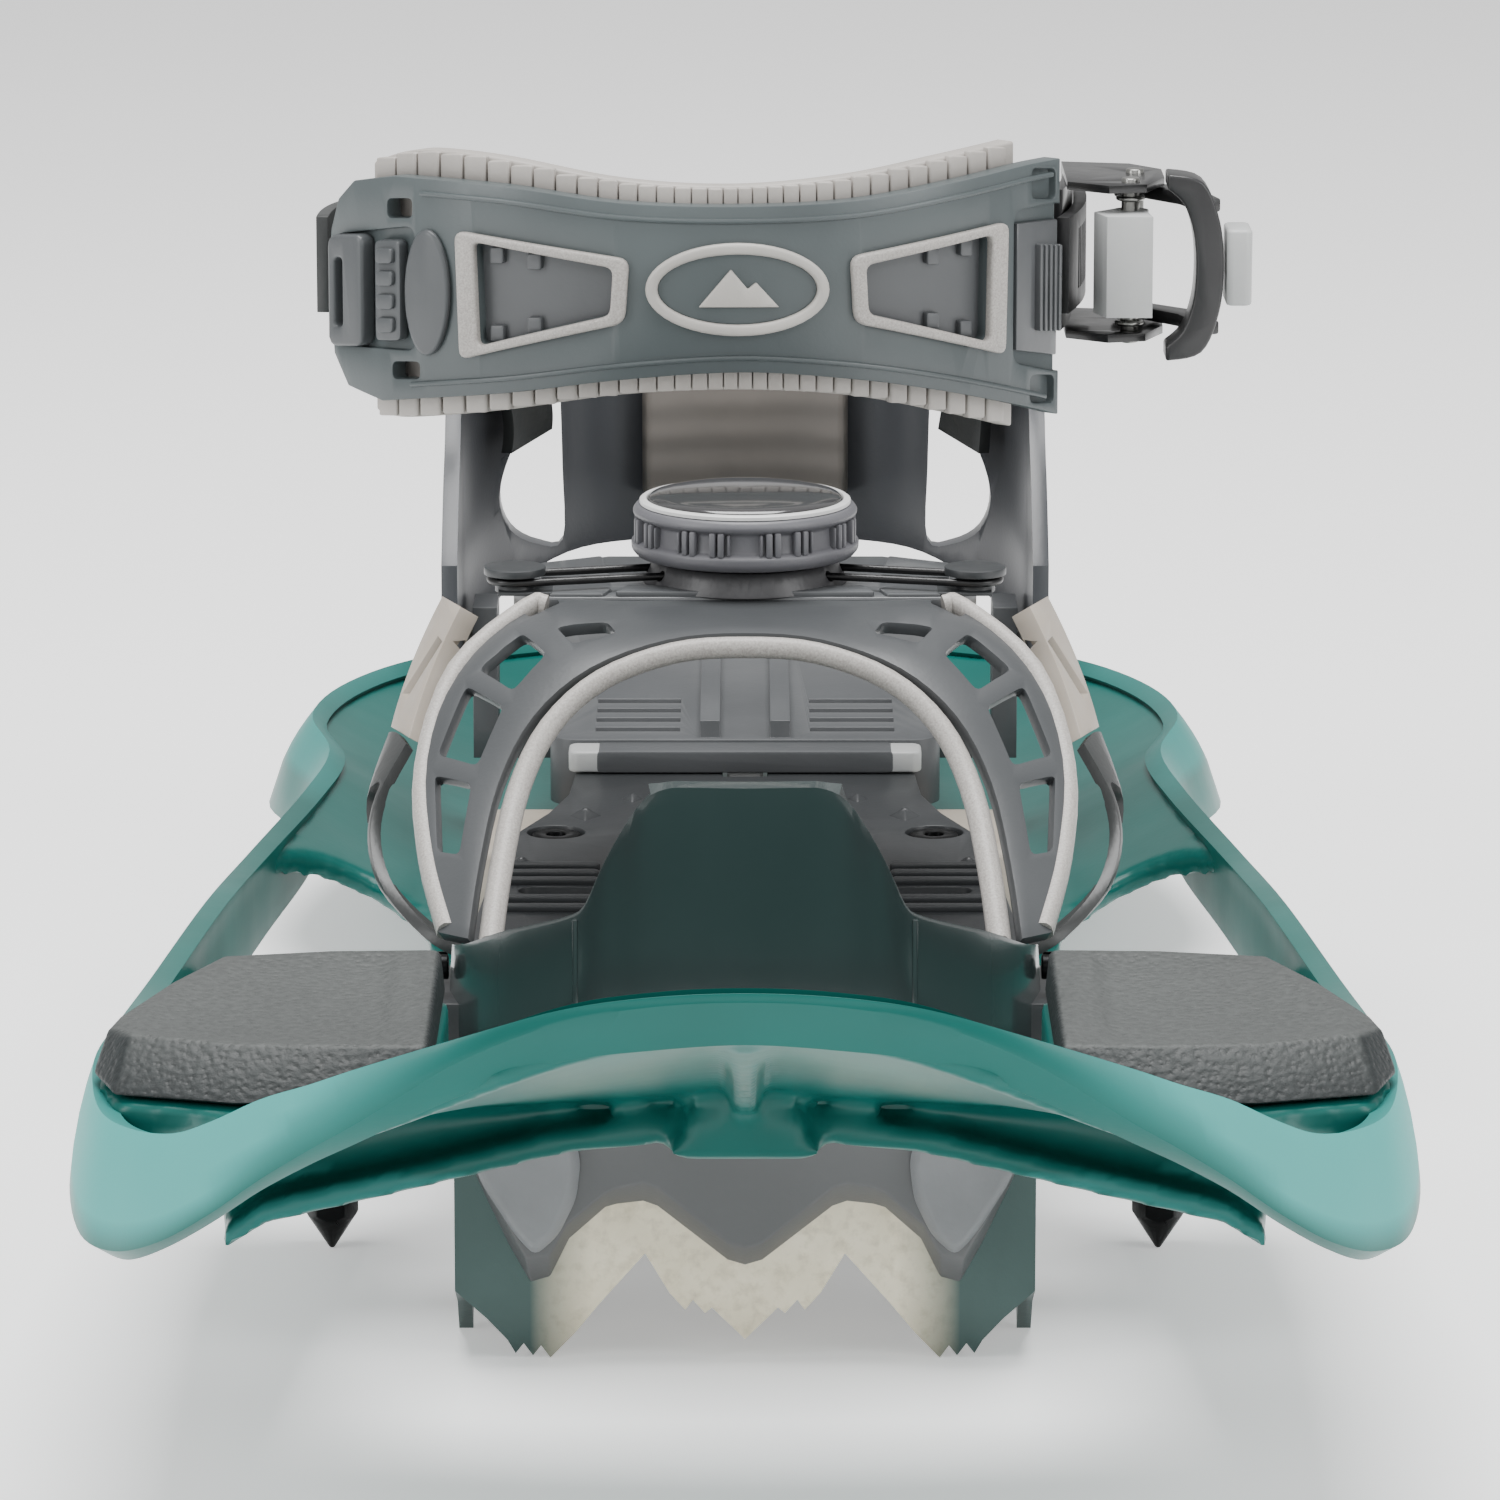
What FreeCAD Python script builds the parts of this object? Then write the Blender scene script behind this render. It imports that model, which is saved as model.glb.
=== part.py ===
import FreeCAD, Part
import math
import os

# A recreational snowshoe in millimetres.  +X is the wearer's right, +Y runs from the tip to
# the tail, +Z is up.  The origin is under the middle of the deck, on the ground that the
# crampon teeth and the studs stand on.

# ---- driving dimensions: deck ----
deck_length = 590.0
deck_width = 216.0
deck_wall = 4.0
plate_wall = 4.5
tip_height = 106.9
tail_height = 40.0
opening_front = -175.0
opening_half_width = 62.0
side_web_rear = -47.0
rear_deck_front = 36.0
arch_depth = 32.0
pad_seat_height = 74.2
pad_thickness = 8.6
rest_height = 15.6
stud_across_flats = 8.5
stud_height = 11.0
stud_spread_front = 75.0
stud_spread_rear = 48.0
stud_rows_rear = (109.0, 224.0)
stud_row_front = -64.0

# ---- driving dimensions: pivot ----
pivot_y = -95.0
pivot_z = 40.0
axle_radius = 4.0
axle_clearance = 0.1
lug_thickness = 10.0
knuckle_thickness = 7.0
washer_thickness = 3.2
side_gap = 0.4

# ---- driving dimensions: binding ----
sole_height = 57.0
sole_thickness = 9.0
plate_half_width = 47.5
plate_tail_half_width = 33.5
tongue_half_width = 22.0
tongue_thickness = 5.0
tongue_end = 168.0
crampon_half_width = 50.0
steel = 2.5
crampon_front = -129.0
crampon_rear = -62.0
rivet_x = 24.0
rivet_z = 38.0
rivet_radius = 1.6
guard_wall = 3.5
guard_height = 103.0
hood_wall = 2.5
trim_width = 5.0
trim_depth = 4.0
tread_half_width = 33.0
tread_front = -92.0
tread_rear = -44.0
tread_height = 0.8
instep_top = 112.0
instep_half_width = 43.0
dial_x = 0.0
dial_y = -5.0
dial_radius = 21.3
dial_height = 12.0
spool_radius = 9.0
lace_radius = 0.7
lace_reach = 44.0
lace_spread = 4.5

# ---- driving dimensions: heel unit ----
heel_half_width = 39.0
heel_front = 83.0
heel_rear = 232.0
heel_top = 62.0
slide_clearance = 0.4
highback_half_width = 61.0
highback_rear = 198.0
highback_wall = 3.2
highback_top = 150.0
highback_pivot_y = 135.0
highback_pivot_z = 72.0
highback_pin_radius = 3.0
arm_outer = 55.8
arm_thickness = 5.0

# ---- driving dimensions: ankle cuff ----
cuff_x = -10.0
cuff_radius = 90.0
cuff_front = 45.0
cuff_half_angle = 53.0
cuff_z = 157.5
cuff_middle_angle = 6.0
cuff_left_height = 45.0
cuff_right_height = 51.0
cuff_waist_height = 32.5
cuff_crown = 1.3
cuff_droop = 5.3
cuff_wall = 4.0
liner_wall = 6.0
liner_overlap = 4.5
hinge_x = -64.0
hinge_y = 118.0
hinge_pin_radius = 2.5
ladder_radius = 131.3
ladder_thickness = 2.4
ladder_width = 19.0
buckle_height = 28.0
lever_pin = (77.5, 103.0)
pawl_pin = (76.0, 90.0)
buckle_pin_radius = 1.8
left_strap_reach = 55.9
right_strap_reach = 63.2

FIT = 0.3
V = FreeCAD.Vector


# ---- drawing helpers ----
def box(x0, x1, y0, y1, z0, z1):
    """Block between two corners."""
    return Part.makeBox(x1 - x0, y1 - y0, z1 - z0, V(x0, y0, z0))


def rod(start, direction, radius, length):
    """Round bar from a point along a direction."""
    return Part.makeCylinder(radius, length, V(*start), V(*direction))


def plate_xy(points, z0, z1):
    """Flat plate with a plan outline."""
    wire = Part.makePolygon([V(x, y, z0) for x, y in points] + [V(points[0][0], points[0][1], z0)])
    return Part.Face(wire).extrude(V(0, 0, z1 - z0))


def plate_xz(points, y0, y1):
    """Upright plate with a front outline."""
    wire = Part.makePolygon([V(x, y0, z) for x, z in points] + [V(points[0][0], y0, points[0][1])])
    return Part.Face(wire).extrude(V(0, y1 - y0, 0))


def plate_yz(points, x0, x1):
    """Upright plate with a side outline."""
    wire = Part.makePolygon([V(x0, y, z) for y, z in points] + [V(x0, points[0][0], points[0][1])])
    return Part.Face(wire).extrude(V(x1 - x0, 0, 0))


def mirrored(shape):
    """The same piece on the other side of the middle plane."""
    return shape.mirror(V(0, 0, 0), V(1, 0, 0))


def both(shape):
    """A piece and its mirror image as two separate solids."""
    return Part.makeCompound([shape, mirrored(shape)])


def both_halves(points):
    """Right half of an open outline, from the middle outwards, completed on the left."""
    left = [(-p[0],) + tuple(p[1:]) for p in reversed(points) if abs(p[0]) > 1e-6]
    return left + list(points)


def strip(rows, thickness, inside, ruled=False, level=False):
    """Curved wall.  Each row holds the wall's outer edge points at one station, and its
    thickness is laid towards the point that inside gives for that station, level if asked."""
    rows = [[V(*p) for p in row] for row in rows]
    sections = []
    for i, row in enumerate(rows):
        before, after = rows[max(i - 1, 0)], rows[min(i + 1, len(rows) - 1)]
        along = after[0] + after[-1] - before[0] - before[-1]
        normal = along.cross(row[-1] - row[0]).normalize()
        middle = (row[0] + row[-1]) * 0.5
        if normal.dot(V(*inside(middle)) - middle) < 0:
            normal = normal * -1
        if all(abs(p.x) < 1e-6 for p in row):
            normal = V(0, normal.y, normal.z).normalize()
        if level:
            normal = V(normal.x, normal.y, 0).normalize()
        section = row + [p + normal * thickness for p in reversed(row)]
        sections.append(Part.makePolygon(section + [section[0]]))
    return Part.makeLoft(sections, True, ruled)


def finer(rows, steps):
    """More stations along a smooth curve through the given ones."""
    out = []
    for i in range(len(rows) - 1):
        a, b, c, d = rows[max(i - 1, 0)], rows[i], rows[i + 1], rows[min(i + 2, len(rows) - 1)]
        for k in range(steps):
            t = k / steps
            out.append([tuple(0.5 * (2 * q[j] + (r[j] - p[j]) * t + (2 * p[j] - 5 * q[j] + 4 * r[j] - s[j]) * t * t
                                     + (3 * q[j] - p[j] - 3 * r[j] + s[j]) * t ** 3) for j in range(3))
                        for p, q, r, s in zip(a, b, c, d)])
    return out + [rows[-1]]


def deck_skin(stations, wall):
    """Moulded plate lofted along Y.  A station is (y, [(x, z), ...]) for the right half."""
    sections = []
    rows = finer([[(x, y, z) for x, z in half] for y, half in stations], 3)
    for row in rows:
        y = row[0][1]
        top = both_halves([(x, z) for x, _, z in row])
        under = [(x, z - wall) for x, z in reversed(top)]
        points = [V(x, y, z) for x, z in top + under]
        sections.append(Part.makePolygon(points + [points[0]]))
    return Part.makeLoft(sections, True, True)


def oval(x, y, half_x, half_y, z0, z1):
    """Upright oval bar."""
    long_x = half_x >= half_y
    curve = Part.Ellipse(V(x, y, z0), max(half_x, half_y), min(half_x, half_y))
    shape = Part.Face(Part.Wire(curve.toShape())).extrude(V(0, 0, z1 - z0))
    if not long_x:
        shape.rotate(V(x, y, z0), V(0, 0, 1), 90)
    return shape


def rounded(shape, radius, pick):
    """Fillet the edges that pick chooses."""
    return shape.makeFillet(radius, [e for e in shape.Edges if pick(e)])


def upright(edge):
    """True for an edge that runs along Z."""
    a, b = edge.Vertexes[0].Point, edge.Vertexes[-1].Point
    return abs(a.x - b.x) < 1e-6 and abs(a.y - b.y) < 1e-6 and abs(a.z - b.z) > 1e-6


def save(name, shape):
    """Write one node."""
    shape.exportStep("parts/" + name + ".step")


# ---- deck ----
half_length = deck_length / 2
half_width = deck_width / 2
pad_outline = [(49, -238), (80, -240), (100, -234), (104, -221), (88, -172), (49, -169)]
pad_top = [(50, -229.5), (79, -228), (97, -222), (100.5, -213), (86.5, -174.5), (50.5, -171.5)]


def rim():
    """Turned-down edge round the deck: top edge, bulge and bottom edge at each station."""
    w, h = half_width, half_length
    t = tip_height
    stations = [
        [(0, -h + 0.6, t), (0, -h, t - 1.5), (0, -h + 3.5, t - 9)],
        [(27.4, -h + 2, t - 3), (27.4, -h + 1.5, t - 5), (27.5, -h + 5.5, t - 12)],
        [(42.4, -h + 5, t - 8), (42.4, -h + 4.2, t - 11.5), (42.6, -h + 8.5, t - 18)],
        [(57.7, -h + 12, 92.2), (57.7, -h + 10.5, 84.5), (58, -h + 15.5, 80)],
        [(73.5, -h + 23.5, 84.3), (73.6, -h + 20, 72.6), (73.8, -h + 25, 69.6)],
        [(81.6, -h + 30, 79), (81.8, -h + 26, 65.2), (81.9, -h + 31, 62.5)],
        [(88, -h + 38, 75), (90.5, -h + 33.5, 58.5), (89.5, -h + 37.5, 56)],
        [(w - 12, -h + 48, 73.3), (w - 9.5, -h + 43.5, 55), (w - 11.5, -h + 47, 52.5)],
        [(w - 7, -h + 58, 73.5), (w - 3.7, -h + 55, 54), (w - 6, -h + 57, 51)],
        [(w - 4.5, -h + 73, 73), (w - 0.7, -h + 69, 58), (w - 4, -h + 71, 48)],
        [(w - 3.2, -200, 73), (w - 0.4, -200, 60), (w - 3.2, -200, 46)],
        [(w - 3, -150, 65), (w - 1.5, -150, 54), (w - 3, -150, 42)],
        [(w - 4, -102, 59), (w - 3, -102, 48), (w - 4, -102, 38)],
        [(w - 8, -25, 55), (w - 7.5, -25, 46), (w - 8, -25, 37)],
        [(w - 12, 39, 49), (w - 11.5, 39, 41), (w - 11, 39, 33)],
        [(w - 19, 100, 47.4), (w - 17, 100, 39), (w - 16, 100, 31)],
        [(w - 22, 137, 48), (w - 18, 137, 39), (w - 15, 137, 30)],
        [(w - 16.3, 172, 48.4), (w - 10, 172, 38), (w - 7, 172, 29)],
        [(86, 215, 46), (91, 216, 37), (94, 217, 28)],
        [(70, h - 43, 44), (74, h - 41, 36), (76, h - 40, 28)],
        [(42, h - 15, 42), (44, h - 12, 35), (45, h - 11, 29)],
        [(0, h - 3, tail_height), (0, h, 34.5), (0, h - 1, 29)],
    ]
    right = strip(finer(stations, 2), deck_wall, lambda p: (0, max(-200, min(200, p.y)), p.z), ruled=True,
                  level=True)
    return right.fuse(mirrored(right))


def front_deck():
    """Shovel and the side webs beside the crampon opening."""
    h, w = half_length, half_width
    skin = deck_skin([
        (-h + 6, [(0, 103), (20, 101), (38, 96)]),
        (-h + 27, [(0, 96), (38, 89), (76, 76)]),
        (-h + 55, [(0, 87), (49, 78), (w - 10, 66)]),
        (-205, [(0, 74), (51, 69), (w - 6, 64)]),
        (-176, [(0, 64), (51, 62), (w - 5, 60)]),
        (-110, [(0, 50), (51, 50), (w - 6, 52)]),
        (side_web_rear, [(0, 44), (50, 44), (w - 9, 46)]),
    ], plate_wall)
    opening = box(-opening_half_width, opening_half_width, opening_front, 0, 0, 150)
    cross = plate_xz([(-86, 36), (-79, 41), (-57, 46.5), (-30, 53), (0, 56), (30, 53), (57, 46.5), (79, 41),
                      (86, 36), (86, 58), (56, 60), (-56, 60), (-86, 58)], opening_front - 9, opening_front)
    spine = plate_yz([(-h + 12, 100), (-h + 12, 95), (opening_front - 6, 55), (opening_front - 6, 60)],
                     -2, 2)
    return skin.cut(opening).fuse([cross, spine])


def side_keel():
    """Rib under a side web that carries the front stud and the axle lug."""
    inner = opening_half_width
    rib = plate_yz([(opening_front, 52), (opening_front, 34), (-100, 20), (-80, stud_height),
                    (-50, stud_height), (side_web_rear, 43)], inner + 4, inner + 22)
    lug = box(inner, inner + lug_thickness, pivot_y - 12, pivot_y + 12, pivot_z - 14, pivot_z + 8)
    return rib.fuse(lug)


def rear_deck():
    """Trough-shaped rear half with two keels for the rear studs."""
    h, w = half_length, half_width
    skin = deck_skin([
        (rear_deck_front, [(0, 32), (56, 32), (w - 13, 47)]),
        (95, [(0, 30), (52, 30), (w - 20, 45)]),
        (137, [(0, 30), (50, 30), (w - 22, 45.5)]),
        (172, [(0, 30), (54, 30), (w - 16, 45.5)]),
        (215, [(0, 30), (50, 30), (84, 43)]),
        (h - 43, [(0, 31), (40, 31), (69, 41)]),
        (h - 14, [(0, 33), (20, 34), (38, 38)]),
        (h - 5, [(0, 35), (9, 35.5), (17, 37)]),
    ], plate_wall)
    shape = skin
    for side in (-1, 1):
        arch = oval(side * 77, rear_deck_front - 2, 15.5, arch_depth, 0, 100)
        shape = shape.cut(arch)
    cross = box(-60, 60, rear_deck_front, rear_deck_front + 6, 18, 30)
    s = stud_spread_rear
    first, last = stud_rows_rear
    keel = plate_yz([(first - 17, 28), (first - 13, stud_height), (first + 13, stud_height),
                     (first + 20, 19), (last - 20, 19), (last - 13, stud_height),
                     (last + 11, stud_height), (last + 16, 28)], s - 8, s + 8)
    return shape.fuse([cross, keel, mirrored(keel)])


def stud_places():
    """Stud centres in plan."""
    rows = [(stud_spread_front, stud_row_front)] + [(stud_spread_rear, y) for y in stud_rows_rear]
    return [(side * x, y) for x, y in rows for side in (-1, 1)]


def screw_seat(y):
    """Height of the face under the head of the screw in a row of studs."""
    return 45.5 if y == stud_row_front else 30.0


def deck_frame():
    """The whole moulding, with the axle bores, pad seats and stud holes."""
    deck = rim().fuse([front_deck(), rear_deck()])
    for piece in (side_keel(), plate_xy(pad_outline, 62, pad_seat_height)):
        deck = deck.fuse([piece, mirrored(piece)])
    room = plate_xy(pad_outline, pad_seat_height, pad_seat_height + 30)
    deck = deck.cut([room, mirrored(room)])
    lug_face = opening_half_width + lug_thickness
    reach = lug_face + 14
    deck = deck.cut(rod((-reach, pivot_y, pivot_z), (1, 0, 0), axle_radius + axle_clearance, 2 * reach))
    head_room = rod((lug_face, pivot_y, pivot_z), (1, 0, 0), axle_radius + 2.4, 14)
    deck = deck.cut([head_room, mirrored(head_room)])
    holes = [rod((x, y, 0), (0, 0, 1), 2.1, 70) for x, y in stud_places()]
    seats = [rod((x, y, screw_seat(y) - 0.02), (0, 0, 1), 4.4, 20) for x, y in stud_places()]
    return deck.cut(holes + seats)


def shock_pad():
    """Soft block on the right of the shovel, with sloped sides."""
    z0, z1 = pad_seat_height + FIT, pad_seat_height + pad_thickness
    base = [V(x, y, z0) for x, y in pad_outline]
    top = [V(x, y, z1) for x, y in pad_top]
    wires = [Part.makePolygon(ring + [ring[0]]) for ring in (base, top)]
    return Part.makeLoft(wires, True, True)


def heel_rest():
    """Elastomer block on the rear deck that the sole plate lands on."""
    z0 = 32 + FIT
    block = box(30, 54, 46, 84, z0, z0 + rest_height)
    return rounded(block, 5, upright)


def studs():
    """Hexagonal steel cones under the deck."""
    solids = []
    across = stud_across_flats / math.sqrt(3)
    ring = [(across * math.cos(math.radians(60 * k)), across * math.sin(math.radians(60 * k)))
            for k in range(6)]
    for x, y in stud_places():
        body = plate_xy([(x + a, y + b) for a, b in ring], 0, stud_height)
        cone = Part.makeCone(0.4, across + 0.6, stud_height - 3, V(x, y, 0), V(0, 0, 1))
        shank = rod((x, y, stud_height - 3), (0, 0, 1), across + 0.6, 3)
        tip = body.common(cone.fuse(shank))
        solids.append(tip.cut(rod((x, y, stud_height - 6), (0, 0, 1), 1.6, 10)))
    return Part.makeCompound(solids)


def stud_screws():
    """Screws that hold the studs from above."""
    solids = []
    for x, y in stud_places():
        top = screw_seat(y)
        shank = rod((x, y, stud_height - 5.5), (0, 0, 1), 1.5, top - stud_height + 5.5)
        head = rod((x, y, top), (0, 0, 1), 4.0, 2.0)
        socket = rod((x, y, top + 1), (0, 0, 1), 1.6, 2.0)
        solids.append(shank.fuse(head).cut(socket))
    return Part.makeCompound(solids)


# ---- pivot ----
def pivot_axle():
    """Steel axle across both lugs, headed at one end and grooved at the other."""
    reach = opening_half_width + lug_thickness
    bar = rod((-reach - 4, pivot_y, pivot_z), (1, 0, 0), axle_radius, 2 * reach + 4)
    head = rod((reach + FIT, pivot_y, pivot_z), (1, 0, 0), axle_radius + 2, 2.5)
    return bar.fuse([head, rod((reach, pivot_y, pivot_z), (1, 0, 0), axle_radius, 1)])


def axle_clip():
    """Push-on ring at the plain end of the axle."""
    reach = opening_half_width + lug_thickness
    ring = rod((-reach - FIT - 1.5, pivot_y, pivot_z), (1, 0, 0), axle_radius + 2, 1.5)
    return ring.cut(rod((-reach - 5, pivot_y, pivot_z), (1, 0, 0), axle_radius + 0.02, 10))


def axle_washer():
    """Thrust washer between a lug and a knuckle."""
    start = opening_half_width - side_gap - washer_thickness + 0.2
    ring = rod((start, pivot_y, pivot_z), (1, 0, 0), axle_radius + 4, washer_thickness - 0.2)
    return ring.cut(rod((start - 1, pivot_y, pivot_z), (1, 0, 0), axle_radius + 0.05, 10))


# ---- sole plate and toe ----
knuckle_outer = opening_half_width - side_gap - washer_thickness - side_gap
plate_screws_at = ((36.2, 23.6), (40.0, -70.0))


def front_plate():
    """Sole plate with knuckles, a size tongue at the rear, and moulded grip details."""
    z1 = sole_height
    z0 = sole_height - sole_thickness
    w = plate_half_width
    k = knuckle_outer
    half = [(0, -135), (30, -132), (44, -122), (46.5, -108), (k, -108), (k, -82), (50, -80), (50, -60),
            (w, -16), (w, 8), (44, 22), (38, 40), (34.5, 56), (plate_tail_half_width, 78), (0, 78)]
    body = plate_xy(both_halves(half[1:-1]), z0, z1)
    t = tongue_half_width
    tongue = box(-t, t, 70, tongue_end, z0 + 2, z0 + 2 + tongue_thickness)
    tread = box(-tread_half_width, tread_half_width, tread_front, tread_rear, z1, z1 + tread_height)
    shape = body.fuse(tongue).fuse(rounded(tread, 6, upright))
    for side in (-1, 1):
        inner, outer = k - knuckle_thickness, k
        a, b = sorted((side * inner, side * outer))
        shape = shape.fuse(box(a, b, pivot_y - 10, pivot_y + 10, pivot_z - 9, z0 + 1))
        for x, y in plate_screws_at:
            shape = shape.cut(rod((side * x, y, z1 - 2.2), (0, 0, 1), 5.6, 5))
            shape = shape.cut(rod((side * x, y, z0 - 1), (0, 0, 1), 2.2, 20))
        for x, y in ((30.9, 37.5), (42.0, -3.7)):
            stud = Part.makeCone(2.6, 0.4, 1.6, V(side * x, y, z1), V(0, 0, 1))
            shape = shape.fuse(stud)
        shape = shape.cut(rounded(box(side * 34 - 8, side * 34 + 8, -27, -21, z1 - 3, z1 + 5), 2.9, upright))
    shape = shape.cut(rod((-k - 1, pivot_y, pivot_z), (1, 0, 0), axle_radius + axle_clearance, 2 * k + 2))
    groove = box(-4.5, 4.5, 72, tongue_end - 8, z0 + 1, z0 + 12)
    shape = shape.cut(groove)
    for i in range(9):
        y = 92 + 8 * i
        for side in (-1, 1):
            a, b = sorted((side * (t - 9), side * (t + 1)))
            shape = shape.cut(box(a, b, y, y + 3.5, z0 + 4.5, z0 + 12))
    return shape


def plate_screws():
    """Torx screws that tie the sole plate to the parts under it."""
    solids = []
    z = sole_height
    for side in (-1, 1):
        for x, y in plate_screws_at:
            low = z - sole_thickness - 1.5
            head = rod((side * x, y, z - 2.2 + 0.05), (0, 0, 1), 4.6, 1.8)
            shank = rod((side * x, y, low), (0, 0, 1), 1.9, z - 2.2 - low + 0.1)
            solids.append(head.fuse(shank).cut(rod((side * x, y, z - 1.4), (0, 0, 1), 1.9, 3)))
    return Part.makeCompound(solids)


def toe_guard():
    """Bumper round the toe: low wings, sloping shoulders and a raised flat middle."""
    z0 = sole_height - 10
    top = guard_height
    half = [(0, -140, top), (13.5, -139.9, top), (17.7, -139.3, top - 2.5), (21.1, -138.6, 94.8),
            (24.5, -138, 88.1), (27.8, -136.6, 81.3), (35, -131.5, 77.3), (42, -125, 74.2),
            (48.5, -112, 69), (51.5, -98, 65.5)]
    rows = [[(x, y, z), (x, y, z0)] for x, y, z in both_halves(half)]
    shell = strip(rows, guard_wall, lambda p: (0, -60, p.z), ruled=True)
    plate = box(-200, 200, -146, 0, 0, sole_height + FIT)
    keep_front = shell.common(box(-200, 200, -146, -132.5, 0, sole_height + FIT))
    return shell.cut(plate).fuse(keep_front.cut(plate_xy([(-46, -120), (-30, -135.4), (30, -135.4),
                                                          (46, -120)], 0, 100)))


def crampon_cover():
    """Dark moulding in front of the steel, with a V between two claws."""
    y1 = crampon_front - steel - FIT
    half = [(0, 16.5), (16.3, 27.7), (22, 28.1), (30.2, 21.3), (33.5, 14.3), (37, 13.3), (40.5, 20),
            (45.5, 31), (48.5, 38), (49.5, 46.6)]
    cover = plate_xz(both_halves(half), y1 - 5.2, y1)
    holes = [rod((x, y1 - 2.8, rivet_z), (0, 1, 0), rivet_radius + 0.05, 4) for x in (-rivet_x, rivet_x)]
    return cover.cut(holes)


def claw_cover():
    """Raised textured shield on each claw, shaped like a drop."""
    y1 = crampon_front - steel - FIT - 5.2 - 0.05
    outline = [(36, 19.4), (39.3, 23.5), (45.2, 32.4), (48, 40), (49, 46), (30, 46), (27.6, 37), (28.5, 30),
               (31.6, 23.5)]
    return plate_xz(outline, y1 - 2.6, y1)


def crampon_teeth():
    """Lower edge of the steel front, right half, from the middle tooth to the corner."""
    edge = [(0, 3.3), (5.7, 9), (6.9, 8), (9, 10.4), (10.3, 8.6), (13, 11.6), (17.2, 18.7), (25, 9.8),
            (29.3, 4.5), (33.6, 0), (35.2, 2.2), (36.6, 0.4), (38.2, 2.6), (39.6, 0.8), (41, 3.2),
            (44.5, 7), (crampon_half_width, 12)]
    return edge


def front_crampon():
    """One sheet of stainless steel folded to a front claw and two toothed side flanges."""
    w = crampon_half_width
    top = sole_height - sole_thickness
    y0, y1 = crampon_front - steel, crampon_front
    front = plate_xz(both_halves(crampon_teeth()) + [(w, top), (-w, top)], y0, y1)
    web = box(-w, w, y0, crampon_rear, top - steel, top)
    web = web.cut(box(-30, 30, crampon_front + 12, crampon_rear - 10, 0, 100))
    side_outline = [(y0, top), (y0, 12), (-121, 7), (-114, 0), (-107, 10), (-99, 15), (-90, 12), (-82, 0),
                    (-75, 12), (crampon_rear, 22), (crampon_rear, top)]
    flange = plate_yz(side_outline, w - steel, w)
    shape = front.fuse([web, flange, mirrored(flange)])
    bore = rod((-w - 1, pivot_y, pivot_z), (1, 0, 0), axle_radius + axle_clearance, 2 * w + 2)
    shape = shape.cut(bore)
    for side in (-1, 1):
        shape = shape.cut(rod((side * 40, -70, top - 5), (0, 0, 1), 2.2, 20))
        shape = shape.cut(rod((side * rivet_x, crampon_front - 6, rivet_z), (0, 1, 0), rivet_radius + 0.05, 8))
    return shape


def crampon_rivets():
    """Rivets that hold the cover to the steel front."""
    solids = []
    for side in (-1, 1):
        shank = rod((side * rivet_x, crampon_front + 0.2, rivet_z), (0, -1, 0), rivet_radius, 5.5)
        head = rod((side * rivet_x, crampon_front + 0.1, rivet_z), (0, 1, 0), 3.2, 1.2)
        solids.append(shank.fuse(head))
    return Part.makeCompound(solids)


# ---- toe hood ----
hood_stations = [
    [(0, -50, 111), (0, -22.5, 111.5)],
    [(14, -51, 110), (20, -22.5, 111.5)],
    [(28, -54.5, 105.5), (41, -25, 111)],
    [(38, -61, 98), (54, -38, 102)],
    [(44, -71, 88), (59.5, -56, 88)],
    [(47, -86, 76.5), (58, -77, 76)],
    [(48.5, -100, 66.2), (54, -95, 66.2)],
]


def hood_inside(point):
    """A point in the boot space level with a place on the hood."""
    return (0, -60, 70)


def between(a, b, share):
    """Point at a share of the way from a to b."""
    return tuple(a[i] + (b[i] - a[i]) * share for i in range(3))


def beyond(row, start, length):
    """Point past an end of a hood station, by a length along the station."""
    a, b = (row[0], row[-1]) if start == 0 else (row[-1], row[0])
    step = V(*a) - V(*b)
    step.normalize()
    out = V(*a) + step * length
    return (out.x, out.y, out.z)


def hood_band(rows, thickness):
    """Band over both sides of the hood."""
    left = [[(-p[0], p[1], p[2]) for p in row] for row in reversed(rows[1:])]
    return strip(left + rows, thickness, hood_inside)


def toe_hood():
    """Flexible web over the toe, with windows between its trims."""
    shell = hood_band(hood_stations, hood_wall)
    for first, last, lo, hi in ((3, 4, 0.3, 0.72), (4, 5, 0.3, 0.72), (2, 3, 0.38, 0.74)):
        a, b = hood_stations[first], hood_stations[last]
        ends = [(between(a[0], b[0], 0.16), between(a[1], b[1], 0.16)),
                (between(a[0], b[0], 0.84), between(a[1], b[1], 0.84))]
        rows = [[between(p, q, lo), between(p, q, hi)] for p, q in ends]
        lifted = [[(x * 1.06, y, z + 4) for x, y, z in row] for row in rows]
        window = strip(lifted, 14, hood_inside, ruled=True)
        shell = shell.cut([window, mirrored(window)])
    return shell


def hood_trim_inner():
    """Light overmoulded rim round the toe mouth."""
    rows = [[beyond(row, 0, trim_width), beyond(row, 0, 0.0)] for row in hood_stations]
    return hood_band(rows, trim_depth)


def hood_trim_outer():
    """Light overmoulded rim down the rear edge of one side."""
    rows = [[beyond(row, 1, 0.0), beyond(row, 1, trim_width - 1)] for row in hood_stations[2:]]
    return strip(rows, trim_depth, hood_inside)


def instep_plate():
    """Stiff carrier for the dial, behind the hood's top edge."""
    w, z1 = instep_half_width, instep_top
    plate = plate_xy([(-w + 6, -22.2), (w - 6, -22.2), (w, -12), (w - 3, 8), (26, 18), (-26, 18),
                      (-w + 3, 8), (-w, -12)], z1 - 4, z1)
    return plate.cut(rod((dial_x, dial_y, z1 - 6), (0, 0, 1), 2.0, 10))


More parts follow.
